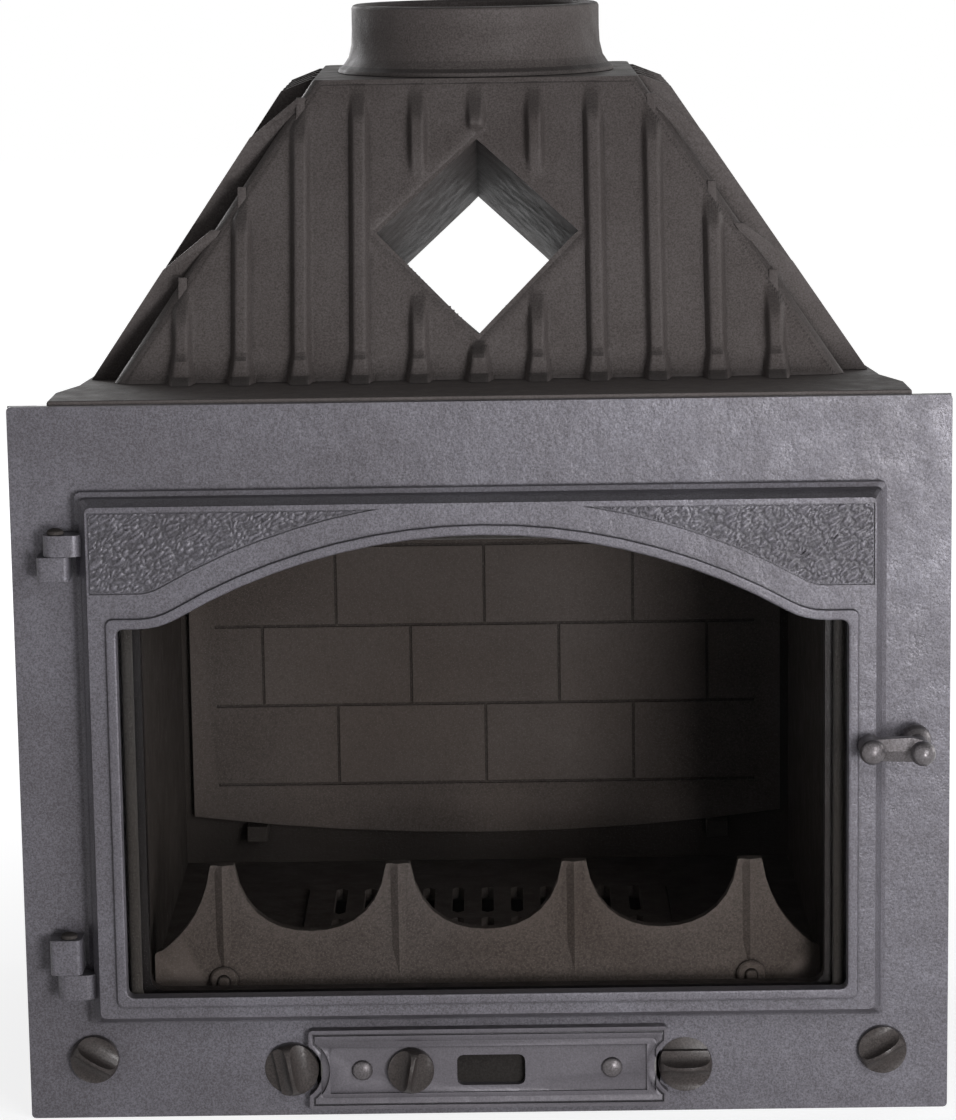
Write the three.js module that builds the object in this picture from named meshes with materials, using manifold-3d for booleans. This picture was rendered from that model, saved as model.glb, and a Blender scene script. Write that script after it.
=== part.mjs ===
// Cast-iron fireplace insert: glazed door, ribbed smoke hood with a diamond tunnel, flue collar,
// ash drawer with an air slot, and the pieces inside the firebox.
// Millimetres, +Z up, front towards -Y. The face plate's front is at y = 0 and the floor at z = 0,
// until the last lines move the origin to the middle of the footprint.

import * as THREE from "three";
import { mergeVertices } from "three/addons/utils/BufferGeometryUtils.js";
import Module from "manifold-3d";

const wasm = await Module();
wasm.setup();

// ---------- driving dimensions ----------

const fit = 0.3; // gap between pieces that rest on or slide in each other
const through = 2; // how far a cutter runs past the face that it opens

// face plate
const plateWidth = 700;
const plateHeight = 549;
const plateThick = 8;
const landWidth = 22; // bearing land down each side of the plate's back, clear of the nuts
const landRise = 1;
const mouthHalf = 256;
const mouthBottom = 100;
const mouthTop = 440;
const mouthCorner = 10;
const mouthLip = 4; // raised band round the mouth, on the inside face
const mouthLipWidth = 8;

// door casting
const doorHalf = 301;
const doorBottom = 77;
const doorTop = 486;
const doorBack = -1;
const doorFront = -25;
const doorStep = 9; // width of the stepped edge
const doorRim = 7;
const skinThick = 8;
const sightHalf = 271; // half the width of the glazed opening
const sightBottom = 103;
const archCrown = 453;
const archRadius = 455;
const archSpring = 225; // half-width at which the crown arc turns over
const archReturn = 60; // radius of the reversed arc at each end
const beadWidth = 8;
const beadRise = 3.5;
const spandrelSet = 26; // from the glazed opening to the foot of the spandrel
const spandrelMargin = 4;
const spandrelDepth = 2;

// glass and its seals
const glassHalf = 276;
const glassLap = 5; // how far the glass reaches past the opening, above and below
const glassThick = 4;
const gasketThick = 1.6;
const glassPlay = 0.1; // between the back of the glass and the land that carries its clips
// floor of the hollow behind the stiles and rails, level with the back of the glass
const hollowFloor = doorFront + skinThick + gasketThick + 2 * fit + glassThick + glassPlay;
const gasketWidth = 9;
const ropeLine = 266; // half-width of the rope's centre line
const ropeCorner = 14;
const ropeSides = 8;
const clipThick = 2;
const clipHalf = 8;
const clipLow = 150;
const clipHigh = 395;

// hinges
const hingeX = -315;
const hingeY = -15;
const pinRadius = 4;
const pinGap = 0.35;
const knuckleFront = -24;
const upperSplit = 440; // where the upper door tab sits on the frame knuckle
const lowerSplit = 119.5; // where the lower frame knuckle sits on the door tab
const frameKnuckle = 18;
const lowerKnuckle = 27;
const doorTab = 16;

// handle
const handleX = 286.5;
const handleZ = 291.5;
const crankLength = 36.5;
const spindleRadius = 4;
const hubRadius = 9;
const hubNeck = 7; // stands beside the bead
const hubFront = -55;
const knobFront = -70;
const bulbBack = -2.6;
const crankY = -44;
const crankHalf = 8.5;
const knobBall = 9.4;
const knobBulb = 11.6;
const tongueLength = 18;
const tongueTip = 3;
const keeperGap = 1; // the tongue passes under its keeper

// ash drawer
const drawerHalf = 136.5;
const drawerBottom = 7;
const drawerTop = 69.5;
const drawerProud = 9;
const drawerOpenHalf = 131;
const drawerOpenBottom = 10;
const drawerOpenTop = 66;
const panHalf = 128;
const panLength = 340;
const panWall = 1.5;
const controlZ = 37.5; // height of the row of controls
const slotLeft = -24;
const slotRight = 28;
const slotHeight = 24;
const slotMiddle = controlZ - 1;
const rivetLeft = -96;
const rivetRight = 94;
const rivetRadius = 8;
const rivetShank = 3;
const airKnobX = -59;
const airKnobRadius = 17.6;
const throwRadius = 22; // crank that slides the air shutter
const throwAngle = 65; // each way from upright, in degrees
const throwPin = 2.2;
const forkGap = 5.2; // from the crank pin's centre to a fork prong
const fieldDepth = 2; // how far the drawer front's middle field is sunk
const crankBack = 8;
const shutterFront = -0.2;
const shutterThick = 2;
const shutterBarTop = 65.5; // the bar runs over the crank pin, under the top of the opening
const shutterBar = 3;
const shutterLap = 3; // how far the blade reaches past the slot

// controls on the plate
const turnButtonX = 150;
const turnButtonRadius = 20.6;
const turnButtonFlat = 11.2;
const notchGap = 3.2; // between a turn button and the notch in the drawer's front
const cornerKnobX = 300;
const cornerKnobZ = 47.5;
const cornerKnobRadius = 18.4;
const knobSpindle = 5;
const spindleReach = 18; // how far a spindle runs behind the plate's front
const nutThick = 5;
const nutRadius = 9;
const finThick = 6.5;
const finRise = 17;

// firebox
const baseThick = 8;
const wallThick = 6;
const wallInset = 2; // the back wall stands in from the flange's rear edge
const flangeThick = 10;
const ledgeTop = 552;
const ledgeBreak = 105; // where the flange starts to fall towards the back
const boxDepth = 446;
const flangeFall = 22;
const flangeHalf = 306;
const flangeFrontHalf = 321;
const flangeShoulder = 57;
const wallHalf = 288; // outside of the side walls, which stand in from the flange's edge
const smokeHalf = 205;
const smokeFront = 150;
const smokeBack = 385;
const hearthTop = 84;
const hearthThick = 8;

// smoke hood
const hoodFront = 100;
const hoodBack = 440;
const hoodTopFront = 196;
const hoodTop = 776;
const hoodHalf = 280;
const hoodTopHalf = 127;
const hoodWall = 7;
const hoodCorner = 9;
const ribPitch = 45.5;
const ribCount = 11;
const ribWidth = 6.5;
const ribRise = 10;
const ribStep = 2.5;
const ribStepHeight = 18;
const ribFoot = 9;
const finPitch = 42;
const finFirst = 150;
const finCount = 7;
const finProud = 20;
const finWidth = 7;
const tunnelTopZ = 730;
const tunnelSideZ = 660.5;
const tunnelBottomZ = 585;
const tunnelHalf = 78;
const tunnelBackTop = 663.5;
const tunnelBackSide = 604;
const tunnelBackBottom = 546.5;
const tunnelBackHalf = 64;
const tunnelWall = 6;
const tunnelBorder = 8; // plain band that the ribs leave round the tunnel's mouth

// flue collar
const collarY = 316;
const collarOuter = 100;
const collarBore = 91;
const collarHeight = 54;
const collarFlare = 109;

// pieces inside the firebox
const firebackHalf = 255;
const firebackThick = 9;
const firebackTop = 410;
const firebackCorner = 128;
const firebackDrop = 17;
const restX = 200; // rests on the back wall that carry the fireback
const restHalf = 9;
const restHeight = 14;
const restDepth = 18;
const jointWidth = 2.4;
const jointDepth = 1.6;
const courseHeight = 70;
const brickLength = 128;
const linerInner = 262;
const linerFront = 18;
const linerFrontTop = 478;
const linerBackTop = 420;
const baffleThick = 6;
const baffleFront = 190;
const grateHalf = 150;
const grateFront = 140;
const grateBack = 340;
const grateThick = 9;
const grateSlots = 11;
const grateSlotWidth = 10;
const grateBridge = 7; // half of the bar across the middle
const guardY = 40;
const guardThick = 9;
const guardHalf = 256;
const guardBottom = 88;
const guardTop = 187;
const guardEnd = 119;
const guardDip = 134;
const postPitch = 135;
const postHalf = 9.5;
const guardPinX = 203;
const guardPinZ = 96;
const guardPinRadius = 4.5;
const guardSlot = 5.2;

// ---------- materials ----------

function castIron(color) {
  return new THREE.MeshStandardMaterial({ color, roughness: 0.72, metalness: 0.35 });
}

function plateIron() {
  return castIron(0x67656b);
}

function hoodIron() {
  return castIron(0x5c5654);
}

function darkIron() {
  return castIron(0x3a3533);
}

function brightSteel() {
  return new THREE.MeshStandardMaterial({ color: 0x8a8784, roughness: 0.4, metalness: 0.9 });
}

function sheetSteel() {
  return new THREE.MeshStandardMaterial({ color: 0x55524f, roughness: 0.5, metalness: 0.7 });
}

function ceramicGlass() {
  return new THREE.MeshStandardMaterial({
    color: 0x2a2523,
    roughness: 0.05,
    metalness: 0,
    transparent: true,
    opacity: 0.25,
  });
}

function glassFibre() {
  return new THREE.MeshStandardMaterial({ color: 0x2b2a2a, roughness: 0.95, metalness: 0 });
}

// ---------- solids ----------

function solid(geometry) {
  const flat = new THREE.BufferGeometry();
  const source = geometry.index ? geometry.toNonIndexed() : geometry;
  flat.setAttribute("position", source.getAttribute("position").clone());
  const merged = mergeVertices(flat, 1e-3);
  return new wasm.Manifold(
    new wasm.Mesh({
      numProp: 3,
      vertProperties: merged.attributes.position.array,
      triVerts: new Uint32Array(merged.index.array),
    }),
  );
}

function join(...pieces) {
  return pieces.reduce((all, piece) => all.add(piece));
}

function cut(body, ...tools) {
  return tools.reduce((left, tool) => left.subtract(tool), body);
}

function block(x0, x1, y0, y1, z0, z1) {
  const geometry = new THREE.BoxGeometry(x1 - x0, y1 - y0, z1 - z0);
  geometry.translate((x0 + x1) / 2, (y0 + y1) / 2, (z0 + z1) / 2);
  return solid(geometry);
}

function extrusion(shape, depth, options) {
  return new THREE.ExtrudeGeometry(shape, { depth, bevelEnabled: false, curveSegments: 8, ...options });
}

// a shape drawn in x and z, between two depths
function upright(shape, y0, y1, options) {
  const geometry = extrusion(shape, y1 - y0, options);
  geometry.rotateX(Math.PI / 2);
  geometry.translate(0, y1, 0);
  return solid(geometry);
}

// a shape drawn in x and y, between two heights
function level(shape, z0, z1) {
  const geometry = extrusion(shape, z1 - z0);
  geometry.translate(0, 0, z0);
  return solid(geometry);
}

// a shape drawn in y and z, between two sideways places
function sideways(shape, x0, x1) {
  const geometry = extrusion(shape, x1 - x0);
  const turn = new THREE.Matrix4().makeBasis(
    new THREE.Vector3(0, 1, 0),
    new THREE.Vector3(0, 0, 1),
    new THREE.Vector3(1, 0, 0),
  );
  geometry.applyMatrix4(turn);
  geometry.translate(x0, 0, 0);
  return solid(geometry);
}

// a profile of [radius, distance towards the viewer] pairs turned round a line along y
function turnedFacing(profile, x, y, z, segments = 32) {
  const points = profile.map(([radius, ahead]) => new THREE.Vector2(radius, ahead));
  const geometry = new THREE.LatheGeometry(points, segments);
  geometry.rotateX(Math.PI);
  geometry.translate(x, y, z);
  return solid(geometry);
}

// a profile of [radius, height] pairs turned round an upright line
function turnedUpright(profile, x, y, z, segments = 32) {
  const points = profile.map(([radius, height]) => new THREE.Vector2(radius, height));
  const geometry = new THREE.LatheGeometry(points, segments);
  geometry.rotateX(Math.PI / 2);
  geometry.translate(x, y, z);
  return solid(geometry);
}

function rodFacing(radius, x, y0, y1, z, segments = 20) {
  const profile = [[0, 0], [radius, 0], [radius, y1 - y0], [0, y1 - y0]];
  return turnedFacing(profile, x, y1, z, segments);
}

function rodUpright(radius, x, y, z0, z1, segments = 20) {
  const profile = [[0, 0], [radius, 0], [radius, z1 - z0], [0, z1 - z0]];
  return turnedUpright(profile, x, y, z0, segments);
}

function hexNut(x, y0, y1, z, cornerRadius, bore) {
  const nut = rodFacing(cornerRadius, x, y0, y1, z, 6);
  return cut(nut, rodFacing(bore, x, y0 - through, y1 + through, z, 12));
}

// quarter circles of points that round a dome off, from its edge to its tip
function dome(radius, start, rise, steps = 5) {
  return Array.from({ length: steps + 1 }, (_, i) => {
    const angle = ((i / steps) * Math.PI) / 2;
    return [i === steps ? 0 : radius * Math.cos(angle), start + rise * Math.sin(angle)];
  });
}

// a skin stretched over closed rings of points that have one count, with both ends closed
function loft(rings) {
  const count = rings[0].length;
  const index = [];
  rings.slice(1).forEach((_, ring) => {
    for (let i = 0; i < count; i++) {
      const a = ring * count + i;
      const b = ring * count + ((i + 1) % count);
      index.push(a, b, b + count, a, b + count, a + count);
    }
  });
  const last = (rings.length - 1) * count;
  for (let i = 1; i < count - 1; i++) {
    index.push(0, i + 1, i);
    index.push(last, last + i, last + i + 1);
  }
  const geometry = new THREE.BufferGeometry().setFromPoints(rings.flat());
  geometry.setIndex(index);
  const made = solid(geometry);
  if (made.volume() > 0) return made;
  return loft([...rings].reverse());
}

function polygon(points) {
  return new THREE.Shape(points.map(([a, b]) => new THREE.Vector2(a, b)));
}

// corner points of a rounded rectangle, drawn anticlockwise
function roundedRing(left, right, low, high, radius, steps = 3) {
  const centres = [
    [right - radius, low + radius, -90],
    [right - radius, high - radius, 0],
    [left + radius, high - radius, 90],
    [left + radius, low + radius, 180],
  ];
  return centres.flatMap(([a, b, start]) =>
    Array.from({ length: steps + 1 }, (_, i) => {
      const angle = THREE.MathUtils.degToRad(start + (90 * i) / steps);
      return [a + radius * Math.cos(angle), b + radius * Math.sin(angle)];
    }),
  );
}

function roundedRect(left, right, low, high, radius, steps = 3) {
  return polygon(roundedRing(left, right, low, high, radius, steps));
}

function ringShape(outer, inner) {
  const shape = outer.clone();
  shape.holes.push(inner);
  return shape;
}

function mirrored(make) {
  return [-1, 1].map((side) => make(side));
}

// ---------- scene graph ----------

const insert = new THREE.Group();

function add(parent, name, body, material) {
  const made = body.getMesh();
  const points = new Float32Array((made.vertProperties.length / made.numProp) * 3);
  for (let i = 0; i < points.length / 3; i++) {
    points.set(made.vertProperties.subarray(i * made.numProp, i * made.numProp + 3), i * 3);
  }
  const geometry = new THREE.BufferGeometry();
  geometry.setAttribute("position", new THREE.BufferAttribute(points, 3));
  geometry.setIndex(new THREE.BufferAttribute(made.triVerts, 1));
  geometry.computeVertexNormals();
  const mesh = new THREE.Mesh(geometry, material);
  mesh.name = name;
  parent.add(mesh);
  return mesh;
}

// ---------- face plate ----------

// The knuckle is a block with a round front, cast on the plate, with the pin's bore through it.
function frameHingeKnuckle(low, high) {
  const shape = roundedRect(hingeX - 14, hingeX + 10, knuckleFront, fit * 2, 4);
  return level(shape, low, high);
}

function facePlate() {
  const outline = roundedRect(-plateWidth / 2, plateWidth / 2, 0, plateHeight, 3);
  outline.holes.push(roundedRect(-mouthHalf, mouthHalf, mouthBottom, mouthTop, mouthCorner));
  outline.holes.push(roundedRect(-drawerOpenHalf, drawerOpenHalf, drawerOpenBottom, drawerOpenTop, 3));
  const plate = upright(outline, 0, plateThick);
  const lipOutline = ringShape(
    roundedRect(
      -mouthHalf - mouthLipWidth,
      mouthHalf + mouthLipWidth,
      mouthBottom - mouthLipWidth,
      mouthTop + mouthLipWidth,
      mouthCorner + mouthLipWidth,
    ),
    roundedRect(-mouthHalf, mouthHalf, mouthBottom, mouthTop, mouthCorner),
  );
  const lip = upright(lipOutline, plateThick - fit, plateThick + mouthLip);
  const lands = mirrored((side) => {
    const inner = side * (plateWidth / 2 - landWidth);
    const outer = (side * plateWidth) / 2;
    const back = plateThick + landRise;
    return block(Math.min(inner, outer), Math.max(inner, outer), plateThick - fit, back, 0, plateHeight);
  });
  const knuckles = join(
    frameHingeKnuckle(upperSplit - fit - frameKnuckle, upperSplit - fit),
    frameHingeKnuckle(lowerSplit + fit, lowerSplit + fit + lowerKnuckle),
  );
  const pinBores = rodUpright(pinRadius + pinGap, hingeX, hingeY, lowerSplit - through, plateHeight);
  const spindles = [
    [-turnButtonX, controlZ],
    [turnButtonX, controlZ],
    [-cornerKnobX, cornerKnobZ],
    [cornerKnobX, cornerKnobZ],
  ];
  const bores = spindles.map(([x, z]) =>
    rodFacing(knobSpindle + pinGap, x, -through, plateThick + through, z),
  );
  return cut(join(plate, lip, knuckles, ...lands), pinBores, ...bores);
}

// The lug on the plate that the latch tongue stands under: a foot with an arm towards the door.
function latchKeeper() {
  const low = handleZ + tongueLength + keeperGap;
  const foot = block(handleX - 8, handleX + 6, -3, -fit, low, low + 16);
  const arm = block(handleX - 8, handleX + 6, -8, -3 + fit, low, low + 6);
  const web = sideways(polygon([[-7, low + 5], [-2.8, low + 5], [-2.8, low + 14]]), handleX - 3, handleX + 1);
  return join(foot, arm, web);
}

function hingePin(low, high) {
  const profile = [
    [0, 0],
    [pinRadius - 0.8, 0],
    [pinRadius, 0.8],
    [pinRadius, high - low],
    [pinRadius + 2.4, high - low],
    ...dome(pinRadius + 2.4, high - low + 1.2, 3.2, 4),
  ];
  return turnedUpright(profile, hingeX, hingeY, low, 20);
}

// ---------- firebox ----------

function flangeOutline() {
  const corners = [
    [flangeFrontHalf, plateThick + fit],
    [flangeFrontHalf - 1, flangeShoulder],
    [flangeHalf, hoodFront],
    [flangeHalf, boxDepth],
  ];
  const left = corners.map(([x, y]) => [-x, y]).reverse();
  return [...corners, ...left];
}

// The flange's top runs level behind the plate and falls gently to the back under the hood.
function flangeHeight(y) {
  const fall = (flangeFall / (boxDepth - ledgeBreak)) * Math.max(0, y - ledgeBreak);
  return ledgeTop - fall;
}

function belowFlange(drop) {
  const side = polygon([
    [0, -through],
    [boxDepth + through, -through],
    [boxDepth + through, flangeHeight(boxDepth + through) - drop],
    [ledgeBreak, ledgeTop - drop],
    [0, ledgeTop - drop],
  ]);
  return sideways(side, -plateWidth / 2, plateWidth / 2);
}

function fireboxBase() {
  const plate = block(-wallHalf, wallHalf, plateThick + fit, boxDepth, 0, baseThick);
  const runners = mirrored((side) => {
    const centre = side * (panHalf - 20);
    const runner = roundedRect(centre - 5, centre + 5, 40, 360, 3);
    return level(runner, baseThick - fit, drawerOpenBottom);
  });
  return join(plate, ...runners);
}

// Each side wall has two upright stiffening ribs on the outside, and its top follows the flange.
function sideWall(side) {
  const inner = side * (wallHalf - wallThick);
  const outer = side * wallHalf;
  const low = baseThick + fit;
  const front = plateThick + fit;
  const sheet = block(Math.min(inner, outer), Math.max(inner, outer), front, boxDepth, low, plateHeight);
  const ribs = [0.25, 0.5, 0.75].map((share) => {
    const y = front + (boxDepth - front) * share;
    const tip = outer + side * 8;
    const root = outer - side;
    return block(Math.min(root, tip), Math.max(root, tip), y - 4, y + 4, low, plateHeight);
  });
  return join(sheet, ...ribs).intersect(belowFlange(flangeThick + fit));
}

// height of the fireback's curved lower edge
function firebackEdge(x) {
  const t = (x + firebackHalf) / (2 * firebackHalf);
  return firebackCorner - 4 * t * (1 - t) * firebackDrop;
}

function backWall() {
  const half = wallHalf - wallThick - fit;
  const back = boxDepth - wallInset;
  const plate = block(-half, half, back - wallThick, back, baseThick + fit, plateHeight);
  const restTop = firebackEdge(restX - restHalf) - fit;
  const rest = mirrored((side) => {
    const x = side * restX;
    const root = boxDepth - wallInset - wallThick + fit;
    return block(x - restHalf, x + restHalf, root - restDepth, root, restTop - restHeight, restTop);
  });
  return join(plate.intersect(belowFlange(flangeThick + fit)), ...rest);
}

function topFlange() {
  const outline = level(polygon(flangeOutline()), plateHeight / 2, plateHeight + 10);
  const skin = cut(belowFlange(0), belowFlange(flangeThick));
  const smoke = level(roundedRect(-smokeHalf, smokeHalf, smokeFront, smokeBack, 12), plateHeight / 2, 600);
  return cut(outline.intersect(skin), smoke);
}

// The hearth spans the firebox over the ash chamber, with a stepped seat for the grate.
function hearthPlate() {
  const half = wallHalf - wallThick - fit;
  const front = plateThick + mouthLip + fit;
  const back = boxDepth - wallInset - wallThick - fit;
  const plate = block(-half, half, front, back, hearthTop - hearthThick, hearthTop);
  const seat = roundedRect(-grateHalf - 2, grateHalf + 2, grateFront - 2, grateBack + 2, 4);
  const hole = roundedRect(-grateHalf + 7, grateHalf - 7, grateFront + 7, grateBack - 7, 4);
  return cut(
    plate,
    level(seat, hearthTop - 4, hearthTop + through),
    level(hole, hearthTop - hearthThick - through, hearthTop + through),
  );
}

function fireGrate() {
  const outline = roundedRect(-grateHalf, grateHalf, grateFront, grateBack, 4);
  const length = 2 * grateHalf - 30;
  const pitch = length / grateSlots;
  for (let i = 0; i < grateSlots; i++) {
    const centre = -length / 2 + pitch * (i + 0.5);
    const middle = (grateFront + grateBack) / 2;
    const rows = [
      [grateFront + 14, middle - grateBridge],
      [middle + grateBridge, grateBack - 14],
    ];
    for (const [front, back] of rows) {
      const half = grateSlotWidth / 2;
      outline.holes.push(roundedRect(centre - half, centre + half, front, back, half - 0.2, 1));
    }
  }
  return level(outline, hearthTop - 4 + fit, hearthTop - 4 + fit + grateThick);
}

// The fireback hangs against the back wall; shallow joints mark it out like coursed masonry.
function fireback() {
  const outline = new THREE.Shape();
  outline.moveTo(-firebackHalf, firebackCorner);
  outline.quadraticCurveTo(0, firebackCorner - 2 * firebackDrop, firebackHalf, firebackCorner);
  outline.lineTo(firebackHalf, firebackTop);
  outline.lineTo(-firebackHalf, firebackTop);
  const back = boxDepth - wallInset - wallThick - fit;
  const front = back - firebackThick;
  const plate = upright(outline, front, back);
  const half = jointWidth / 2;
  const grooves = [];
  const courses = Math.floor((firebackTop - firebackCorner - 20) / courseHeight);
  const field = firebackHalf - 22;
  for (let i = 0; i <= courses; i++) {
    const z = firebackCorner + 28 + i * courseHeight;
    grooves.push(block(-field, field, front - through, front + jointDepth, z - half, z + half));
    if (i === courses) continue;
    const shift = i % 2 === 0 ? 0 : brickLength / 2;
    for (let x = -brickLength * 2 + shift; x < field; x += brickLength) {
      if (x < -field) continue;
      grooves.push(block(x - half, x + half, front - through, front + jointDepth, z, z + courseHeight));
    }
  }
  return cut(plate, ...grooves);
}

function sideLiner(side) {
  const back = boxDepth - wallInset - wallThick - firebackThick - 3 * fit;
  const profile = polygon([
    [linerFront, hearthTop + fit],
    [back, hearthTop + fit],
    [back, linerBackTop],
    [linerFront, linerFrontTop],
  ]);
  const inner = side * linerInner;
  const outer = side * (wallHalf - wallThick - fit);
  return sideways(profile, Math.min(inner, outer), Math.max(inner, outer));
}

// The baffle lies on the sloping tops of the side liners and turns the smoke to the front.
function smokeBaffle() {
  const back = boxDepth - wallInset - wallThick - firebackThick - 3 * fit;
  const slope = (linerFrontTop - linerBackTop) / (back - linerFront);
  const line = (y) => linerFrontTop - slope * (y - linerFront) + fit;
  const profile = polygon([
    [baffleFront, line(baffleFront)],
    [back, line(back)],
    [back, line(back) + baffleThick],
    [baffleFront + 12, line(baffleFront + 12) + baffleThick],
    [baffleFront + 10, line(baffleFront + 10) + baffleThick + 14],
    [baffleFront, line(baffleFront) + baffleThick + 14],
  ]);
  const half = wallHalf - wallThick - 4;
  return sideways(profile, -half, half);
}

// ---------- log guard ----------

function guardOutline() {
  const shape = new THREE.Shape();
  const posts = [-1.5, -0.5, 0.5, 1.5].map((step) => step * postPitch);
  shape.moveTo(-guardHalf, guardBottom);
  shape.lineTo(guardHalf, guardBottom);
  shape.lineTo(guardHalf, guardEnd - 4);
  shape.quadraticCurveTo(guardHalf, guardEnd, guardHalf - 6, guardEnd + 1);
  const shoulder = posts[3] + postHalf;
  shape.bezierCurveTo(shoulder + 22, guardDip - 2, shoulder + 5, guardDip + 16, shoulder, guardTop - 2);
  for (const post of [...posts].reverse()) {
    shape.quadraticCurveTo(post + postHalf, guardTop, post + postHalf - 2, guardTop);
    shape.lineTo(post - postHalf + 2, guardTop);
    shape.quadraticCurveTo(post - postHalf, guardTop, post - postHalf, guardTop - 2);
    if (post === posts[0]) break;
    const next = post - postPitch + postHalf;
    const middle = post - postPitch / 2;
    shape.bezierCurveTo(post - postHalf - 5, guardDip + 14, middle + 28, guardDip, middle, guardDip);
    shape.bezierCurveTo(middle - 28, guardDip, next + 5, guardDip + 14, next, guardTop - 2);
  }
  const last = posts[0] - postHalf;
  shape.bezierCurveTo(last - 5, guardDip + 16, last - 22, guardDip - 2, -guardHalf + 6, guardEnd + 1);
  shape.quadraticCurveTo(-guardHalf, guardEnd, -guardHalf, guardEnd - 4);
  return shape;
}

// A low rib stands up the middle of each post and dies out into the web below.
function postRib(x) {
  const low = guardBottom + 12;
  const ring = (z, half, rise) => [
    new THREE.Vector3(x - half, guardY + fit, z),
    new THREE.Vector3(x, guardY - rise, z),
    new THREE.Vector3(x + half, guardY + fit, z),
  ];
  return loft([ring(low, 1, 0.4), ring(low + 22, 6, 3.5), ring(guardTop - 6, 6.5, 4), ring(guardTop, 6, 2.5)]);
}

function logGuard() {
  const web = upright(guardOutline(), guardY, guardY + guardThick, { curveSegments: 7 });
  const ribs = [-1.5, -0.5, 0.5, 1.5].map((step) => postRib(step * postPitch));
  const lugs = mirrored((side) =>
    turnedFacing(
      [[0, 0], [11, 0], [11, 3.2], [9.6, 4.6], [0, 4.6]],
      side * guardPinX,
      guardY + fit,
      guardPinZ,
      24,
    ),
  );
  const feet = mirrored((side) =>
    block(
      side * (guardPinX + 24) - 7,
      side * (guardPinX + 24) + 7,
      guardY,
      guardY + guardThick,
      hearthTop + fit,
      guardBottom + fit,
    ),
  );
  const slots = mirrored((side) => {
    const x = side * guardPinX;
    const shape = new THREE.Shape();
    shape.moveTo(x - guardSlot, hearthTop - through);
    shape.lineTo(x + guardSlot, hearthTop - through);
    shape.lineTo(x + guardSlot, guardPinZ);
    shape.absarc(x, guardPinZ, guardSlot, 0, Math.PI, false);
    return upright(shape, guardY - 10, guardY + guardThick + through, { curveSegments: 6 });
  });
  return cut(join(web, ...ribs, ...lugs, ...feet), ...slots);
}

// The hearth bracket holds the pin that one inverted U of the guard drops over.
function guardBracket(side) {
  const x = side * guardPinX;
  const behind = guardY + guardThick + 1.5;
  const profile = polygon([
    [behind, hearthTop + fit],
    [behind + 26, hearthTop + fit],
    [behind + 26, hearthTop + fit + 4],
    [behind + 8, guardPinZ + 8],
    [behind, guardPinZ + 8],
  ]);
  const foot = sideways(profile, x - 8, x + 8);
  const pin = turnedFacing(
    [[0, 0], [guardPinRadius, 0], [guardPinRadius, 17], [guardPinRadius - 1.2, 18.4], [0, 18.4]],
    x,
    behind + fit,
    guardPinZ,
    20,
  );
  return join(foot, pin);
}

// ---------- smoke hood ----------

function hoodRing(height, grow) {
  const t = (height - ledgeTop) / (hoodTop - ledgeTop);
  const half = hoodHalf + (hoodTopHalf - hoodHalf) * t - grow;
  const front = hoodFront + (hoodTopFront - hoodFront) * t + grow;
  const ring = roundedRing(-half, half, front, hoodBack - grow, hoodCorner);
  return ring.map(([x, y]) => new THREE.Vector3(x, y, height));
}

// depth of the hood's leaning face at a height
function hoodFace(z) {
  return hoodFront + ((hoodTopFront - hoodFront) * (z - ledgeTop)) / (hoodTop - ledgeTop);
}

// half the width of the hood's face at a height
function hoodEdge(z) {
  return hoodHalf + ((hoodTopHalf - hoodHalf) * (z - ledgeTop)) / (hoodTop - ledgeTop);
}

function aboveFlange(lift) {
  const reach = boxDepth + 20;
  const side = polygon([
    [0, ledgeTop + lift],
    [ledgeBreak, ledgeTop + lift],
    [reach, flangeHeight(reach) + lift],
    [reach, hoodTop * 2],
    [0, hoodTop * 2],
  ]);
  return sideways(side, -plateWidth, plateWidth);
}

// The diamond's four corners, run past the hood's front and back so that it cuts clean through.
function tunnelPrism(grow) {
  const reach = 0.12;
  const front = [
    [0, tunnelTopZ],
    [-tunnelHalf, tunnelSideZ],
    [0, tunnelBottomZ],
    [tunnelHalf, tunnelSideZ],
  ];
  const back = [
    [0, tunnelBackTop],
    [-tunnelBackHalf, tunnelBackSide],
    [0, tunnelBackBottom],
    [tunnelBackHalf, tunnelBackSide],
  ];
  const outward = [
    [0, 1],
    [-1, 0],
    [0, -1],
    [1, 0],
  ];
  const spread = grow * Math.SQRT2;
  const ring = (t) =>
    front.map(([x, z], i) => {
      const y = hoodFace(z);
      const [dx, dz] = outward[i];
      const px = x + (back[i][0] - x) * t + dx * spread;
      const pz = z + (back[i][1] - z) * t + dz * spread;
      return new THREE.Vector3(px, y + (hoodBack - y) * t, pz);
    });
  return loft([ring(-reach), ring(1 + reach)]);
}

// One upright rib on the leaning face: a step above its foot, and the foot runs out on the flange.
function faceRib(x) {
  const reach = Math.max(Math.abs(x) - ribWidth / 2, 0);
  const edgeRun = (hoodHalf - hoodTopHalf) / (hoodTop - ledgeTop);
  const highest = Math.min(hoodTop - 4, ledgeTop + (hoodHalf - reach) / edgeRun - 4);
  const low = ledgeTop + fit;
  const step = ledgeTop + ribStepHeight;
  const points = [
    [hoodFace(low) - ribRise - ribStep - ribFoot, low],
    [hoodFace(low + 5) - ribRise - ribStep - 2, low + 5],
    [hoodFace(step) - ribRise - ribStep, step],
    [hoodFace(step + 2) - ribRise, step + 2],
    [hoodFace(highest - 26) - ribRise, highest - 26],
    [hoodFace(highest) - 1, highest],
    [hoodFace(highest) + 4, highest],
    [hoodFace(low) + 4, low],
  ].reverse();
  return sideways(polygon(points), x - ribWidth / 2, x + ribWidth / 2);
}

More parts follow.
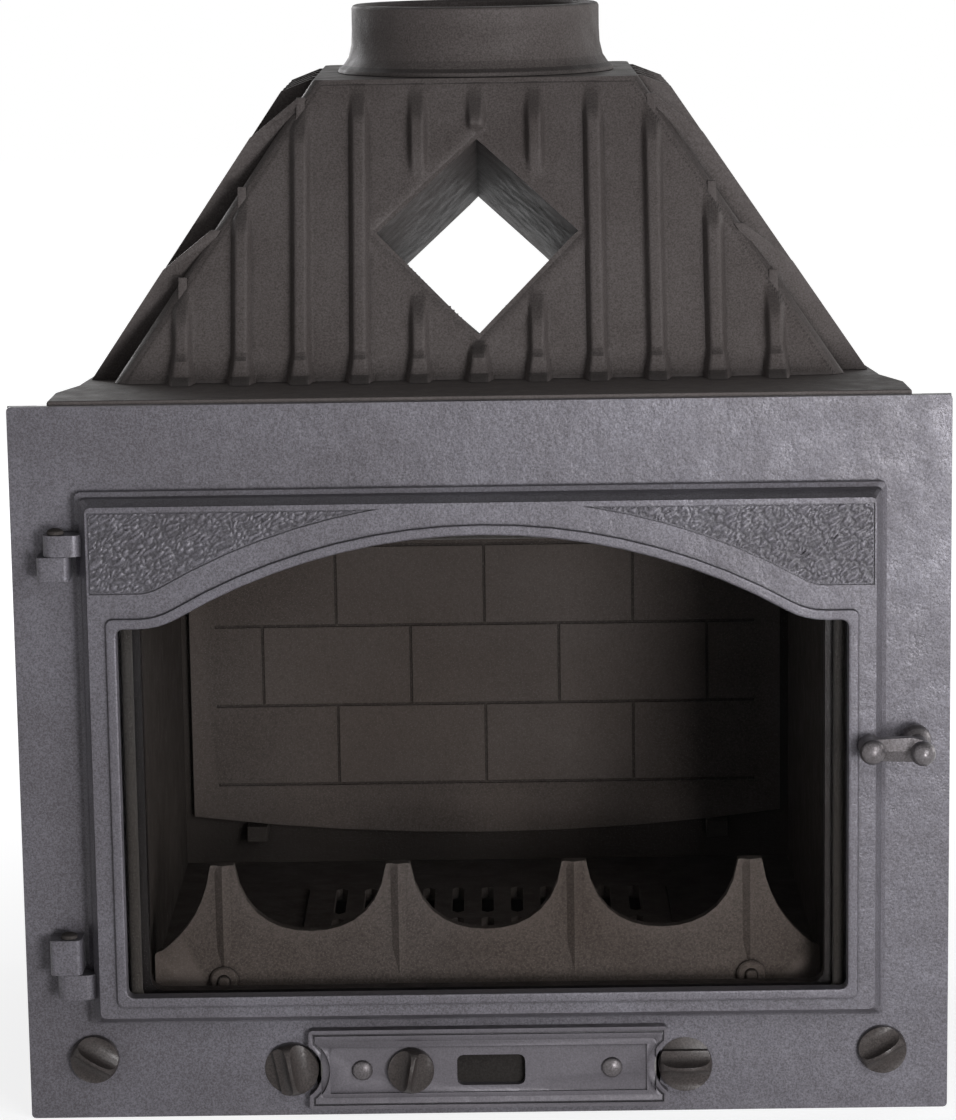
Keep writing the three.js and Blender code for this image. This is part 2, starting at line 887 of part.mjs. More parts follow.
// One fin on a sloping side: it stops where the leaning face cuts it off, or under the hood's top.
function sideFin(y, side) {
  const faceLimit = ledgeTop + ((y - finWidth - hoodFront) * (hoodTop - ledgeTop)) / (hoodTopFront - hoodFront);
  const high = Math.min(hoodTop - 1, faceLimit + 12);
  const low = flangeHeight(y) - 8;
  const run = (hoodHalf - hoodTopHalf) / (hoodTop - ledgeTop);
  const shoulder = high - (high < hoodTop - 1 ? 30 : 9);
  const outline = polygon(
    [
      [hoodEdge(low) - 5, low],
      [hoodEdge(low) + finProud, low],
      [hoodEdge(shoulder) + finProud, shoulder],
      [hoodEdge(high) + 4 * run, high],
      [hoodEdge(high) - 5, high],
    ].map(([x, z]) => [x * side, z]),
  );
  return upright(outline, y - finWidth / 2, y + finWidth / 2);
}

function smokeHood() {
  const outer = loft([hoodRing(ledgeTop - flangeFall - 4, 0), hoodRing(hoodTop, 0)]);
  const inner = loft([hoodRing(ledgeTop - flangeFall - 10, hoodWall), hoodRing(hoodTop - hoodWall, hoodWall)]);
  const tunnel = tunnelPrism(tunnelWall).intersect(outer);
  const ribs = Array.from({ length: ribCount }, (_, i) => faceRib((i - (ribCount - 1) / 2) * ribPitch));
  const fins = [-1, 1].flatMap((side) =>
    Array.from({ length: finCount }, (_, i) => sideFin(finFirst + i * finPitch, side)),
  );
  const ribbing = cut(join(...ribs), tunnelPrism(tunnelBorder));
  const shell = join(cut(outer, inner), tunnel, ribbing, ...fins);
  const flue = rodUpright(collarBore, 0, collarY, hoodTop - hoodWall * 3, hoodTop + through, 48);
  const topFace = block(-plateWidth, plateWidth, 0, boxDepth * 2, 0, hoodTop);
  return cut(shell, tunnelPrism(0), flue).intersect(aboveFlange(fit)).intersect(topFace);
}

// ---------- flue collar ----------

function flueCollar() {
  const foot = hoodTop + fit;
  const top = foot + collarHeight;
  const profile = [
    [collarBore, foot],
    [collarFlare + 3, foot],
    [collarFlare + 2, foot + 3],
    [collarFlare - 2, foot + 6],
    [collarOuter + 3, foot + 12],
    [collarOuter + 0.6, foot + 22],
    [collarOuter, foot + 34],
    [collarOuter, top - 3],
    [collarOuter - 1, top - 0.8],
    [collarOuter - 3, top],
    [collarBore + 2, top],
    [collarBore, top - 2],
    [collarBore, foot],
  ];
  return turnedUpright(profile, 0, collarY, 0, 48);
}

// ---------- door ----------

// points along an arc, by its centre, radius and two angles in degrees
function arcPoints(x, z, radius, from, to, steps) {
  return Array.from({ length: steps + 1 }, (_, i) => {
    const angle = THREE.MathUtils.degToRad(from + ((to - from) * i) / steps);
    return [x + radius * Math.cos(angle), z + radius * Math.sin(angle)];
  });
}

// The crown arc turns over into the reversed arc at this lean; both arcs share that tangent.
const archLean = THREE.MathUtils.radToDeg(Math.asin(archSpring / archRadius));
const archCentre = archCrown - archRadius;
const returnX = (archRadius + archReturn) * Math.sin(THREE.MathUtils.degToRad(archLean));
const returnZ = archCentre + (archRadius + archReturn) * Math.cos(THREE.MathUtils.degToRad(archLean));
const archShoulder = returnZ - archReturn;

// The glazed opening: upright sides, short level shoulders, a reversed arc and a flat crown arc.
function archOutline(grow) {
  const half = sightHalf + grow;
  const low = sightBottom - grow;
  const shoulder = archShoulder + grow;
  const corner = 5;
  const right = [
    ...arcPoints(half - corner, low + corner, corner, -90, 0, 3),
    ...arcPoints(half - corner, shoulder - corner, corner, 0, 90, 3),
    ...arcPoints(returnX, returnZ, archReturn - grow, -90, -90 - archLean, 4),
    ...arcPoints(0, archCentre, archRadius + grow, 90 - archLean, 90, 9).slice(1),
  ];
  const left = right.slice(0, -1).map(([x, z]) => [-x, z]);
  return polygon([...right, ...left.reverse()]);
}

function doorRing(y, inset) {
  const ring = roundedRing(
    -doorHalf + inset,
    doorHalf - inset,
    doorBottom + inset,
    doorTop - inset,
    4,
    2,
  );
  return ring.map(([x, z]) => new THREE.Vector3(x, y, z));
}

// A sunk field between the arch and the door's top corner, one on each side.
function spandrelField(side) {
  const left = -doorHalf + doorStep + 1.5;
  const top = doorTop - doorStep - spandrelMargin;
  const field = upright(
    polygon([
      [left, sightBottom],
      [-30, sightBottom],
      [-30, top],
      [left, top],
    ]),
    doorFront - through,
    doorFront + spandrelDepth,
  );
  const belowArch = upright(archOutline(spandrelSet), doorFront - 2 * through, doorFront + 2 * through);
  const besideArch = block(
    -doorHalf,
    -returnX,
    doorFront - 2 * through,
    doorFront + 2 * through,
    0,
    archShoulder + spandrelSet,
  );
  const made = cut(field, belowArch, besideArch);
  return side < 0 ? made : made.mirror([1, 0, 0]);
}

function doorHingeTab(low, high) {
  const shape = roundedRect(hingeX - 9.5, -doorHalf + doorRim - 1, hingeY - 8.5, hingeY + 8.5, 8, 4);
  return level(shape, low, high);
}

function doorFrame() {
  const y1 = doorFront;
  const body = loft([
    doorRing(doorBack, 0),
    doorRing(doorBack - 7, 0),
    doorRing(doorBack - 9, 3.4),
    doorRing(doorBack - 16, 4),
    doorRing(y1 + 3, doorStep - 1.5),
    doorRing(y1, doorStep),
  ]);
  const beadShape = ringShape(archOutline(beadWidth), archOutline(0));
  const beadOptions = {
    bevelEnabled: true,
    bevelThickness: 2,
    bevelSize: 2,
    bevelOffset: -2,
    bevelSegments: 2,
  };
  const bead = upright(beadShape, y1 - beadRise + 2, y1 + 2, beadOptions);
  const sight = upright(archOutline(0), y1 - 10, 0);
  const seatHalf = glassHalf + 1;
  const seatBottom = sightBottom - glassLap - 1;
  const seatTop = archCrown + glassLap + 1;
  const glassSeat = upright(roundedRect(-seatHalf, seatHalf, seatBottom, seatTop, 3), y1 + skinThick, 0);
  const landHalf = doorHalf - doorRim;
  const hollow = upright(
    roundedRect(-landHalf, landHalf, doorBottom + doorRim, doorTop - doorRim, 4),
    hollowFloor,
    0,
  );
  const spandrels = mirrored((side) => spandrelField(side));
  const tabs = join(
    doorHingeTab(upperSplit, upperSplit + doorTab),
    doorHingeTab(lowerSplit - doorTab - 3, lowerSplit),
  );
  const pinBores = rodUpright(pinRadius + pinGap, hingeX, hingeY, 0, doorTop);
  const spindleBore = rodFacing(spindleRadius + pinGap, handleX, y1 - through, 0, handleZ);
  const solidDoor = cut(join(body, bead), sight, glassSeat, hollow, ...spandrels);
  return cut(join(solidDoor, tabs), pinBores, spindleBore);
}

function glassOutline() {
  return roundedRect(-glassHalf, glassHalf, sightBottom - glassLap, archCrown + glassLap, glassLap - 2);
}

// A flat tape lies between the glass and the casting, with the arch cut out of it.
function glassGasket() {
  const seat = doorFront + skinThick;
  const shape = ringShape(glassOutline(), archOutline(1));
  return upright(shape, seat + fit, seat + fit + gasketThick);
}

function doorGlass() {
  return upright(glassOutline(), glassFront, glassFront + glassThick);
}

// The rope fills the space between the glass and the face plate, so its section follows from both.
const glassFront = doorFront + skinThick + gasketThick + 2 * fit;
const ropeFront = glassFront + glassThick + fit;
const ropeBack = -2 * fit;
const ropeCentre = (ropeFront + ropeBack) / 2;
const ropeRadius = (ropeBack - ropeFront) / 2 / Math.cos(Math.PI / ropeSides);

// The rope runs round the back of the glass in one loop and presses on the face plate.
function doorRope() {
  const low = mouthBottom - (ropeLine - mouthHalf);
  const high = archCrown - 2;
  const corners = roundedRing(-ropeLine, ropeLine, low, high, ropeCorner, 4);
  const points = corners.map(([x, z]) => new THREE.Vector3(x, 0, z));
  const rings = points.map((point, i) => {
    const before = points[(i + points.length - 1) % points.length];
    const after = points[(i + 1) % points.length];
    const along = after.clone().sub(before).normalize();
    const out = new THREE.Vector3(along.z, 0, -along.x);
    return Array.from({ length: ropeSides }, (_, k) => {
      const angle = (2 * Math.PI * (k + 0.5)) / ropeSides;
      return point
        .clone()
        .addScaledVector(out, ropeRadius * Math.cos(angle))
        .add(new THREE.Vector3(0, ropeCentre + ropeRadius * Math.sin(angle), 0));
    });
  });
  const index = [];
  rings.forEach((_, ring) => {
    const next = ((ring + 1) % rings.length) * ropeSides;
    for (let k = 0; k < ropeSides; k++) {
      const a = ring * ropeSides + k;
      const b = ring * ropeSides + ((k + 1) % ropeSides);
      const c = next + ((k + 1) % ropeSides);
      const d = next + k;
      index.push(a, b, c, a, c, d);
    }
  });
  const geometry = new THREE.BufferGeometry().setFromPoints(rings.flat());
  geometry.setIndex(index);
  return solid(geometry);
}

// A small folded clip holds the glass's edge and is screwed to the land behind the stile.
function glassClip(side, z) {
  const back = hollowFloor;
  const inner = side * (glassHalf - 3.2);
  const outer = side * (glassHalf + 9);
  const front = back + fit;
  const left = Math.min(inner, outer);
  const right = Math.max(inner, outer);
  return block(left, right, front, front + clipThick, z - clipHalf, z + clipHalf);
}

function clipScrew(side, z) {
  const back = hollowFloor + 2 * fit + clipThick;
  const x = side * (glassHalf + 5.4);
  const head = turnedUpright([[0, 0], [3, 0], [2.4, 1.4], [0, 1.8]], 0, 0, 0, 16);
  return head.rotate([-90, 0, 0]).translate([x, back, z]);
}

// ---------- handle ----------

// One casting: a hub with a domed cap, a stout crank, and a turned knob with a bulb behind it.
function doorHandle() {
  const foot = doorFront - 0.5;
  const hub = turnedFacing(
    [
      [0, 0],
      [hubNeck, 0],
      [hubNeck, beadRise + 1],
      [hubRadius - 0.5, beadRise + 3],
      [hubRadius - 0.5, -hubFront + foot - 4],
      [hubRadius + 0.4, -hubFront + foot - 2],
      ...dome(hubRadius + 0.4, -hubFront + foot, 7),
    ],
    handleX,
    foot,
    handleZ,
    24,
  );
  const ring = (x, half, thick) => [
    new THREE.Vector3(x, crankY - thick * 0.55, handleZ - half),
    new THREE.Vector3(x, crankY - thick, handleZ),
    new THREE.Vector3(x, crankY - thick * 0.55, handleZ + half),
    new THREE.Vector3(x, crankY + thick * 0.8, handleZ + half * 0.9),
    new THREE.Vector3(x, crankY + thick * 0.8, handleZ - half * 0.9),
  ];
  const crank = loft([
    ring(handleX + 2, crankHalf - 0.6, 8.5),
    ring(handleX + 14, crankHalf, 8.5),
    ring(handleX + crankLength - 6, crankHalf + 0.6, 8.5),
    ring(handleX + crankLength + 2, crankHalf - 2, 7.5),
  ]);
  const knobX = handleX + crankLength;
  const bulb = [0, 1, 2, 3, 4, 5, 6].map((i) => {
    const angle = -Math.PI / 2 + (i / 6) * Math.PI * 0.82;
    return [i === 0 ? 0 : knobBulb * Math.cos(angle), knobBulb + knobBulb * Math.sin(angle)];
  });
  const ballCentre = bulbBack - knobFront - knobBall;
  const ball = [0, 1, 2, 3, 4, 5, 6, 7].map((i) => {
    const angle = -Math.PI * 0.3 + (i / 7) * Math.PI * 0.8;
    return [i === 7 ? 0 : knobBall * Math.cos(angle), ballCentre + knobBall * Math.sin(angle)];
  });
  const knob = turnedFacing([...bulb, [7.2, 30], [6.2, 46], ...ball], knobX, bulbBack, handleZ, 20);
  const spindle = rodFacing(spindleRadius, handleX, foot - 1, doorBack - 3, handleZ);
  return join(hub, crank, knob, spindle);
}

// The tongue is keyed on the spindle's inner end and stands up inside the hollow stile.
function latchCam() {
  const front = hollowFloor + fit;
  const back = doorBack - 4.2;
  const hub = rodFacing(6.8, handleX, front, back, handleZ, 24);
  const tip = handleZ + tongueLength;
  const tongue = polygon([
    [handleX + tongueTip, tip - 3],
    [handleX + tongueTip - 1.5, tip],
    [handleX - tongueTip + 1.5, tip],
    [handleX - tongueTip, tip - 3],
    [handleX - 6, handleZ],
    [handleX + 6, handleZ],
  ]);
  const bore = rodFacing(spindleRadius + fit, handleX, front - through, back + through, handleZ);
  return cut(join(hub, upright(tongue, front, back)), bore);
}

// ---------- turned controls ----------

// A low domed disc with a standing fin across it, on a spindle that runs through the plate.
function finKnob(radius, tilt, spindleBack, flat) {
  const disc = turnedFacing(
    [[0, 0], [radius, 0], [radius, 3.6], [radius - 1.2, 5], [radius * 0.62, 6.4], [0, 7]],
    0,
    -0.5,
    0,
    32,
  );
  const half = radius - 0.6;
  const crest = new THREE.Shape();
  crest.moveTo(-half, 3);
  crest.lineTo(half, 3);
  crest.bezierCurveTo(half, finRise * 0.7, half * 0.55, finRise, 0, finRise);
  crest.bezierCurveTo(-half * 0.55, finRise, -half, finRise * 0.7, -half, 3);
  const fin = extrusion(crest, finThick - 3, {
    curveSegments: 6,
    bevelEnabled: true,
    bevelThickness: 1.5,
    bevelSize: 1.5,
    bevelOffset: -1.5,
    bevelSegments: 2,
  });
  fin.translate(0, 0, -(finThick - 3) / 2);
  fin.rotateX(Math.PI);
  let top = join(disc, solid(fin));
  if (flat) top = cut(top, block(-radius * 2, radius * 2, -finRise * 2, 0, flat, radius * 2));
  const turned = top.rotate([0, tilt, 0]);
  return join(turned, rodFacing(knobSpindle, 0, -2, spindleBack, 0));
}

function addKnob(name, x, z, knob, material) {
  const group = new THREE.Group();
  group.position.set(x, 0, z);
  add(group, name, knob, material);
  const nut = hexNut(0, plateThick + fit, plateThick + fit + nutThick, 0, nutRadius, knobSpindle + fit);
  add(group, name + "_nut", nut, brightSteel());
  insert.add(group);
}

// ---------- ash drawer ----------

function drawerFront() {
  const outline = roundedRect(-drawerHalf, drawerHalf, drawerBottom, drawerTop, 3);
  const y0 = -drawerProud - 0.5;
  const panel = upright(outline, y0, -0.5);
  const field = upright(
    roundedRect(-drawerHalf + 9, drawerHalf - 9, drawerBottom + 9, drawerTop - 9, 3),
    y0 - through,
    y0 + fieldDepth,
  );
  const notches = mirrored((side) =>
    rodFacing(turnButtonRadius + notchGap, side * turnButtonX, y0 - through, through, controlZ, 40),
  );
  const slot = upright(
    roundedRect(slotLeft, slotRight, slotMiddle - slotHeight / 2, slotMiddle + slotHeight / 2, 5),
    y0 - through,
    through,
  );
  const bore = rodFacing(knobSpindle + pinGap, airKnobX, y0 - through, through, controlZ);
  const rivetBores = [rivetLeft, rivetRight].map((x) =>
    rodFacing(rivetShank + fit, x, y0 - through, through, controlZ),
  );
  return cut(panel, field, ...notches, slot, bore, ...rivetBores);
}

function drawerRivet(x) {
  const head = -drawerProud - 0.5 + fieldDepth - fit;
  const body = turnedFacing([[0, 0], [rivetRadius, 0], ...dome(rivetRadius, 0.8, 4, 4)], x, head, controlZ, 20);
  return join(body, rodFacing(rivetShank, x, head - 1, panWall + fit + 0.2, controlZ));
}

// A folded sheet pan: its front wall is cut away round the shutter and its fork.
function drawerPan() {
  const floor = drawerOpenBottom + fit;
  const top = drawerOpenTop - 3;
  const front = -fit;
  const outer = block(-panHalf, panHalf, front, front + panLength, floor, top);
  const hollow = block(
    -panHalf + panWall,
    panHalf - panWall,
    front + panWall,
    front + panLength - panWall,
    floor + panWall,
    top + through,
  );
  const rivetBores = [rivetLeft, rivetRight].map((x) =>
    rodFacing(rivetShank + fit, x, front - through, front + panWall + through, controlZ),
  );
  const window = block(-91, 76, front - through, front + panWall + through, floor + panWall + 4, top + through);
  return cut(outer, hollow, window, ...rivetBores);
}

// The knob's spindle carries a small crank behind the front; its pin works the shutter's fork.
function airKnob() {
  const face = -drawerProud - 0.5 + fieldDepth;
  const knob = finKnob(airKnobRadius, -80, crankBack - face, 0).translate([0, face, 0]);
  const angle = THREE.MathUtils.degToRad(throwAngle);
  const pinX = -throwRadius * Math.sin(angle);
  const pinZ = throwRadius * Math.cos(angle);
  const across = new THREE.Vector2(-pinZ, pinX).setLength(3.4);
  const arm = polygon([
    [across.x, across.y],
    [-across.x, -across.y],
    [pinX - across.x, pinZ - across.y],
    [pinX * 1.12, pinZ * 1.12],
    [pinX + across.x, pinZ + across.y],
  ]);
  const crank = upright(arm, crankBack - 2.6, crankBack);
  const pin = rodFacing(throwPin, pinX, shutterFront, crankBack - 1, pinZ);
  return join(knob, crank, pin).translate([airKnobX, 0, controlZ]);
}

// The shutter slides behind the slot; the crank's pin pushes it between the two prongs of its fork.
function airShutter() {
  const pinX = airKnobX - throwRadius * Math.sin(THREE.MathUtils.degToRad(throwAngle));
  const back = shutterFront + shutterThick;
  const left = slotLeft - shutterLap;
  const right = slotRight + shutterLap;
  const low = slotMiddle - slotHeight / 2 - shutterLap;
  const high = slotMiddle + slotHeight / 2 + shutterLap;
  const barLow = shutterBarTop - shutterBar;
  const blade = block(left, right, shutterFront, back, low, high);
  const bar = block(pinX - forkGap - shutterBar, right, shutterFront, back, barLow, shutterBarTop);
  const neck = block(left, left + 23, shutterFront, back, high - fit, barLow + fit);
  const prongs = mirrored((side) => {
    const inner = pinX + side * forkGap;
    const outer = inner + side * shutterBar;
    const x0 = Math.min(inner, outer);
    const x1 = Math.max(inner, outer);
    return block(x0, x1, shutterFront, back, controlZ + knobSpindle + 1, barLow + fit);
  });
  return join(blade, bar, neck, ...prongs);
}

// ---------- assembly ----------

add(insert, "front_frame", facePlate(), plateIron());
add(insert, "latch_keeper", latchKeeper(), darkIron());
add(insert, "firebox_base", fireboxBase(), darkIron());
add(insert, "firebox_left_wall", sideWall(-1), darkIron());
add(insert, "firebox_right_wall", sideWall(1), darkIron());
add(insert, "firebox_back_wall", backWall(), darkIron());
add(insert, "firebox_top", topFlange(), hoodIron());
add(insert, "hearth_plate", hearthPlate(), darkIron());
add(insert, "fire_grate", fireGrate(), darkIron());
add(insert, "fireback", fireback(), darkIron());
add(insert, "left_liner", sideLiner(-1), darkIron());
add(insert, "right_liner", sideLiner(1), darkIron());
add(insert, "smoke_baffle", smokeBaffle(), darkIron());
add(insert, "smoke_hood", smokeHood(), hoodIron());
add(insert, "flue_collar", flueCollar(), hoodIron());
add(insert, "log_guard", logGuard(), darkIron());
add(insert, "guard_bracket_left", guardBracket(-1), darkIron());
add(insert, "guard_bracket_right", guardBracket(1), darkIron());
add(insert, "door_frame", doorFrame(), plateIron());
add(insert, "glass_gasket", glassGasket(), glassFibre());
add(insert, "door_glass", doorGlass(), ceramicGlass());
add(insert, "door_rope_seal", doorRope(), glassFibre());
add(insert, "door_handle", doorHandle(), plateIron());
add(insert, "latch_cam", latchCam(), brightSteel());

[
  ["left", -1],
  ["right", 1],
].forEach(([name, side]) => {
  [
    ["lower", clipLow],
    ["upper", clipHigh],
  ].forEach(([level, z]) => {
    add(insert, `glass_clip_${name}_${level}`, glassClip(side, z), brightSteel());
    add(insert, `clip_screw_${name}_${level}`, clipScrew(side, z), brightSteel());
  });
});
const upperPin = hingePin(upperSplit - frameKnuckle, upperSplit + doorTab + fit);
const lowerPin = hingePin(lowerSplit - doorTab, lowerSplit + lowerKnuckle + 2 * fit);
add(insert, "hinge_pin_upper", upperPin, brightSteel());
add(insert, "hinge_pin_lower", lowerPin, brightSteel());

const leftButton = finKnob(turnButtonRadius, -101, spindleReach, turnButtonFlat);
const rightButton = finKnob(turnButtonRadius, 0, spindleReach, turnButtonFlat);
const leftKnob = finKnob(cornerKnobRadius, 31, spindleReach);
const rightKnob = finKnob(cornerKnobRadius, -30, spindleReach);
addKnob("turn_button_left", -turnButtonX, controlZ, leftButton, darkIron());
addKnob("turn_button_right", turnButtonX, controlZ, rightButton, darkIron());
addKnob("corner_knob_left", -cornerKnobX, cornerKnobZ, leftKnob, darkIron());
addKnob("corner_knob_right", cornerKnobX, cornerKnobZ, rightKnob, darkIron());

add(insert, "ash_drawer_front", drawerFront(), plateIron());
add(insert, "ash_drawer_pan", drawerPan(), sheetSteel());
add(insert, "drawer_rivet_left", drawerRivet(rivetLeft), darkIron());
add(insert, "drawer_rivet_right", drawerRivet(rivetRight), darkIron());
add(insert, "air_knob", airKnob(), darkIron());
add(insert, "air_shutter", airShutter(), sheetSteel());

insert.position.y = -(boxDepth + knobFront) / 2;

export default insert;
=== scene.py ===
# A cast-iron fireplace insert with a glazed door, seen from the front and a little above.
# Sections follow the insert as it is put together: plate, hood, firebox, door, controls, drawer.

import math

import bpy
from mathutils import Matrix, Vector, noise


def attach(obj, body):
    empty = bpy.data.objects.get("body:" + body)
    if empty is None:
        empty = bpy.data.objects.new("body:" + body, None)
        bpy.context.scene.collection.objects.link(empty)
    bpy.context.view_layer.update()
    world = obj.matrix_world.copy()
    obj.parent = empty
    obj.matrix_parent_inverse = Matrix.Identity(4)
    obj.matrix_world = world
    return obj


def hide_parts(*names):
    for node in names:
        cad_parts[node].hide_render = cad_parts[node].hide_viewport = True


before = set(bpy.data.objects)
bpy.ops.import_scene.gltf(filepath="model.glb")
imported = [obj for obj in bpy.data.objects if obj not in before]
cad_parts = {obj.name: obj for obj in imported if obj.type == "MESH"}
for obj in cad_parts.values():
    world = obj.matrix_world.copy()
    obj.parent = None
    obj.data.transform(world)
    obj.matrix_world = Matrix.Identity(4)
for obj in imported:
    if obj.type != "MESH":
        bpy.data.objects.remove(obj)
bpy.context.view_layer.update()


# ---------- room ----------
# A pale studio: a white floor that keeps the insert's shadow, under a dim even sky. Two small
# soft lamps on the right light the front from above and from low down, a weak one fills in from
# the left, and two large ones light the back and the right side.

CAMERA_PLACE = Vector((0.01186, -2.93767, 0.92800))
CAMERA_PITCH = 0.1793
CAMERA_YAW = -0.0052
CAMERA_ROLL = -0.0146
CAMERA_LENS = 141.3
SENSOR_WIDTH = 36.0
WHITE = (1.0, 1.0, 1.0, 1.0)
SKY_COLOUR = (0.93, 0.95, 1.0, 1.0)
SKY_LIGHT = 0.12
SKY_FALLS_FROM = 0.1
ZENITH_LIGHT = 0.015
ZENITH_FROM = 0.8
FLOOR_SIZE = 14.0
FLOOR_MIDDLE = (0.0, 3.0, 0.0)
FLOOR_COLOUR = (0.34, 0.34, 0.35, 1.0)
FLOOR_GLOW_NEAR = 0.80
FLOOR_GLOW_FAR = 1.0
FLOOR_NEAR = 0.35
FLOOR_FAR = 1.30


def combined(nodes, links, operation, first, second):
    """Two values put through one Math node."""
    step = nodes.new("ShaderNodeMath")
    step.operation = operation
    links.new(first, step.inputs[0])
    links.new(second, step.inputs[1])
    return step.outputs[0]


def faded(nodes, links, value, start, end, at_start, at_end):
    """at_start up to the value start, at_end beyond the value end, a straight fade between them."""
    fade = nodes.new("ShaderNodeMapRange")
    fade.inputs["From Min"].default_value = start
    fade.inputs["From Max"].default_value = end
    fade.inputs["To Min"].default_value = at_start
    fade.inputs["To Max"].default_value = at_end
    links.new(value, fade.inputs["Value"])
    return fade.outputs["Result"]


def rays_that_see_the_room(nodes, links):
    """1 where a ray comes from the camera, a mirror-like surface or glass, else 0."""
    path = nodes.new("ShaderNodeLightPath")
    through = combined(
        nodes, links, "MAXIMUM", path.outputs["Is Camera Ray"], path.outputs["Is Transmission Ray"]
    )
    return combined(nodes, links, "MAXIMUM", through, path.outputs["Is Glossy Ray"])


def place_camera():
    forward = Vector(
        (
            math.sin(CAMERA_YAW) * math.cos(CAMERA_PITCH),
            math.cos(CAMERA_YAW) * math.cos(CAMERA_PITCH),
            -math.sin(CAMERA_PITCH),
        )
    )
    level = Vector((math.cos(CAMERA_YAW), -math.sin(CAMERA_YAW), 0.0))
    upward = level.cross(forward)
    right = math.cos(CAMERA_ROLL) * level + math.sin(CAMERA_ROLL) * upward
    up = -math.sin(CAMERA_ROLL) * level + math.cos(CAMERA_ROLL) * upward
    lens = bpy.data.cameras.new("photo camera")
    lens.sensor_fit = "HORIZONTAL"
    lens.sensor_width = SENSOR_WIDTH
    lens.lens = CAMERA_LENS
    camera = bpy.data.objects.new("photo camera", lens)
    bpy.context.scene.collection.objects.link(camera)
    turn = Matrix((right, up, -forward)).transposed()
    camera.matrix_world = Matrix.Translation(CAMERA_PLACE) @ turn.to_4x4()
    bpy.context.scene.camera = camera


def soft_lamp(name, place, target, width, height, watts, colour):
    light = bpy.data.lights.new(name, "AREA")
    light.shape = "RECTANGLE"
    light.size = width
    light.size_y = height
    light.energy = watts
    light.color = colour
    lamp = bpy.data.objects.new(name, light)
    bpy.context.scene.collection.objects.link(lamp)
    aim = (Vector(target) - Vector(place)).to_track_quat("-Z", "Y")
    lamp.matrix_world = Matrix.Translation(Vector(place)) @ aim.to_matrix().to_4x4()


def light_the_world():
    world = bpy.data.worlds.new("pale studio")
    bpy.context.scene.world = world
    world.use_nodes = True
    nodes, links = world.node_tree.nodes, world.node_tree.links
    nodes.clear()
    output = nodes.new("ShaderNodeOutputWorld")
    place = nodes.new("ShaderNodeTexCoord")
    axes = nodes.new("ShaderNodeSeparateXYZ")
    links.new(place.outputs["Generated"], axes.inputs[0])
    light = nodes.new("ShaderNodeBackground")
    light.inputs["Color"].default_value = SKY_COLOUR
    strength = faded(nodes, links, axes.outputs["Z"], SKY_FALLS_FROM, ZENITH_FROM, SKY_LIGHT, ZENITH_LIGHT)
    links.new(strength, light.inputs["Strength"])
    seen = nodes.new("ShaderNodeBackground")
    seen.inputs["Color"].default_value = WHITE
    mix = nodes.new("ShaderNodeMixShader")
    links.new(rays_that_see_the_room(nodes, links), mix.inputs["Fac"])
    links.new(light.outputs[0], mix.inputs[1])
    links.new(seen.outputs[0], mix.inputs[2])
    links.new(mix.outputs[0], output.inputs["Surface"])


def lay_floor():
    bpy.ops.object.select_all(action="DESELECT")
    bpy.ops.mesh.primitive_plane_add(size=FLOOR_SIZE, location=FLOOR_MIDDLE)
    floor = bpy.context.view_layer.objects.active
    floor.name = "studio_floor"
    bpy.ops.object.transform_apply(location=True, rotation=True, scale=True)
    paint = bpy.data.materials.new("pale floor")
    paint.use_nodes = True
    nodes, links = paint.node_tree.nodes, paint.node_tree.links
    nodes.clear()
    output = nodes.new("ShaderNodeOutputMaterial")
    matt = nodes.new("ShaderNodeBsdfDiffuse")
    matt.inputs["Color"].default_value = FLOOR_COLOUR
    place = nodes.new("ShaderNodeTexCoord")
    reach = nodes.new("ShaderNodeVectorMath")
    reach.operation = "LENGTH"
    links.new(place.outputs["Object"], reach.inputs[0])
    strength = faded(
        nodes, links, reach.outputs["Value"], FLOOR_NEAR, FLOOR_FAR, FLOOR_GLOW_NEAR, FLOOR_GLOW_FAR
    )
    glow = nodes.new("ShaderNodeEmission")
    links.new(strength, glow.inputs["Strength"])
    dark = nodes.new("ShaderNodeEmission")
    dark.inputs["Strength"].default_value = 0.0
    shown = nodes.new("ShaderNodeMixShader")
    links.new(rays_that_see_the_room(nodes, links), shown.inputs["Fac"])
    links.new(dark.outputs[0], shown.inputs[1])
    links.new(glow.outputs[0], shown.inputs[2])
    both = nodes.new("ShaderNodeAddShader")
    links.new(matt.outputs[0], both.inputs[0])
    links.new(shown.outputs[0], both.inputs[1])
    links.new(both.outputs[0], output.inputs["Surface"])
    floor.data.materials.append(paint)


bpy.context.scene.view_settings.view_transform = "Standard"
place_camera()
light_the_world()
lay_floor()
for name, place, target, width, height, watts, colour in [
    ("key softbox", (0.98, -1.40, 1.02), (0.1, -0.1, 0.45), 0.7, 0.6, 10.0, (0.97, 0.98, 1.0)),
    ("left fill", (-1.9, -2.2, 1.1), (0.0, -0.1, 0.45), 1.2, 1.4, 0.8, (1.0, 0.98, 0.97)),
    ("rear softbox", (-1.6, 2.6, 1.3), (0.0, 0.1, 0.35), 1.4, 1.2, 34.0, (0.98, 0.98, 1.0)),
    ("right side softbox", (2.8, 1.1, 1.0), (0.2, 0.1, 0.35), 1.2, 1.2, 16.0, (1.0, 0.99, 0.98)),
    ("low front softbox", (0.92, -2.50, 0.36), (0.15, -0.1, 0.45), 0.6, 0.5, 35.0, (0.98, 0.98, 1.0)),
]:
    soft_lamp(name, place, target, width, height, watts, colour)


# ---------- face plate ----------
# The flat front casting that covers the masonry opening. It is sand-cast iron with satin
# anthracite stove paint, whose grain shows as fine pale and dark specks.

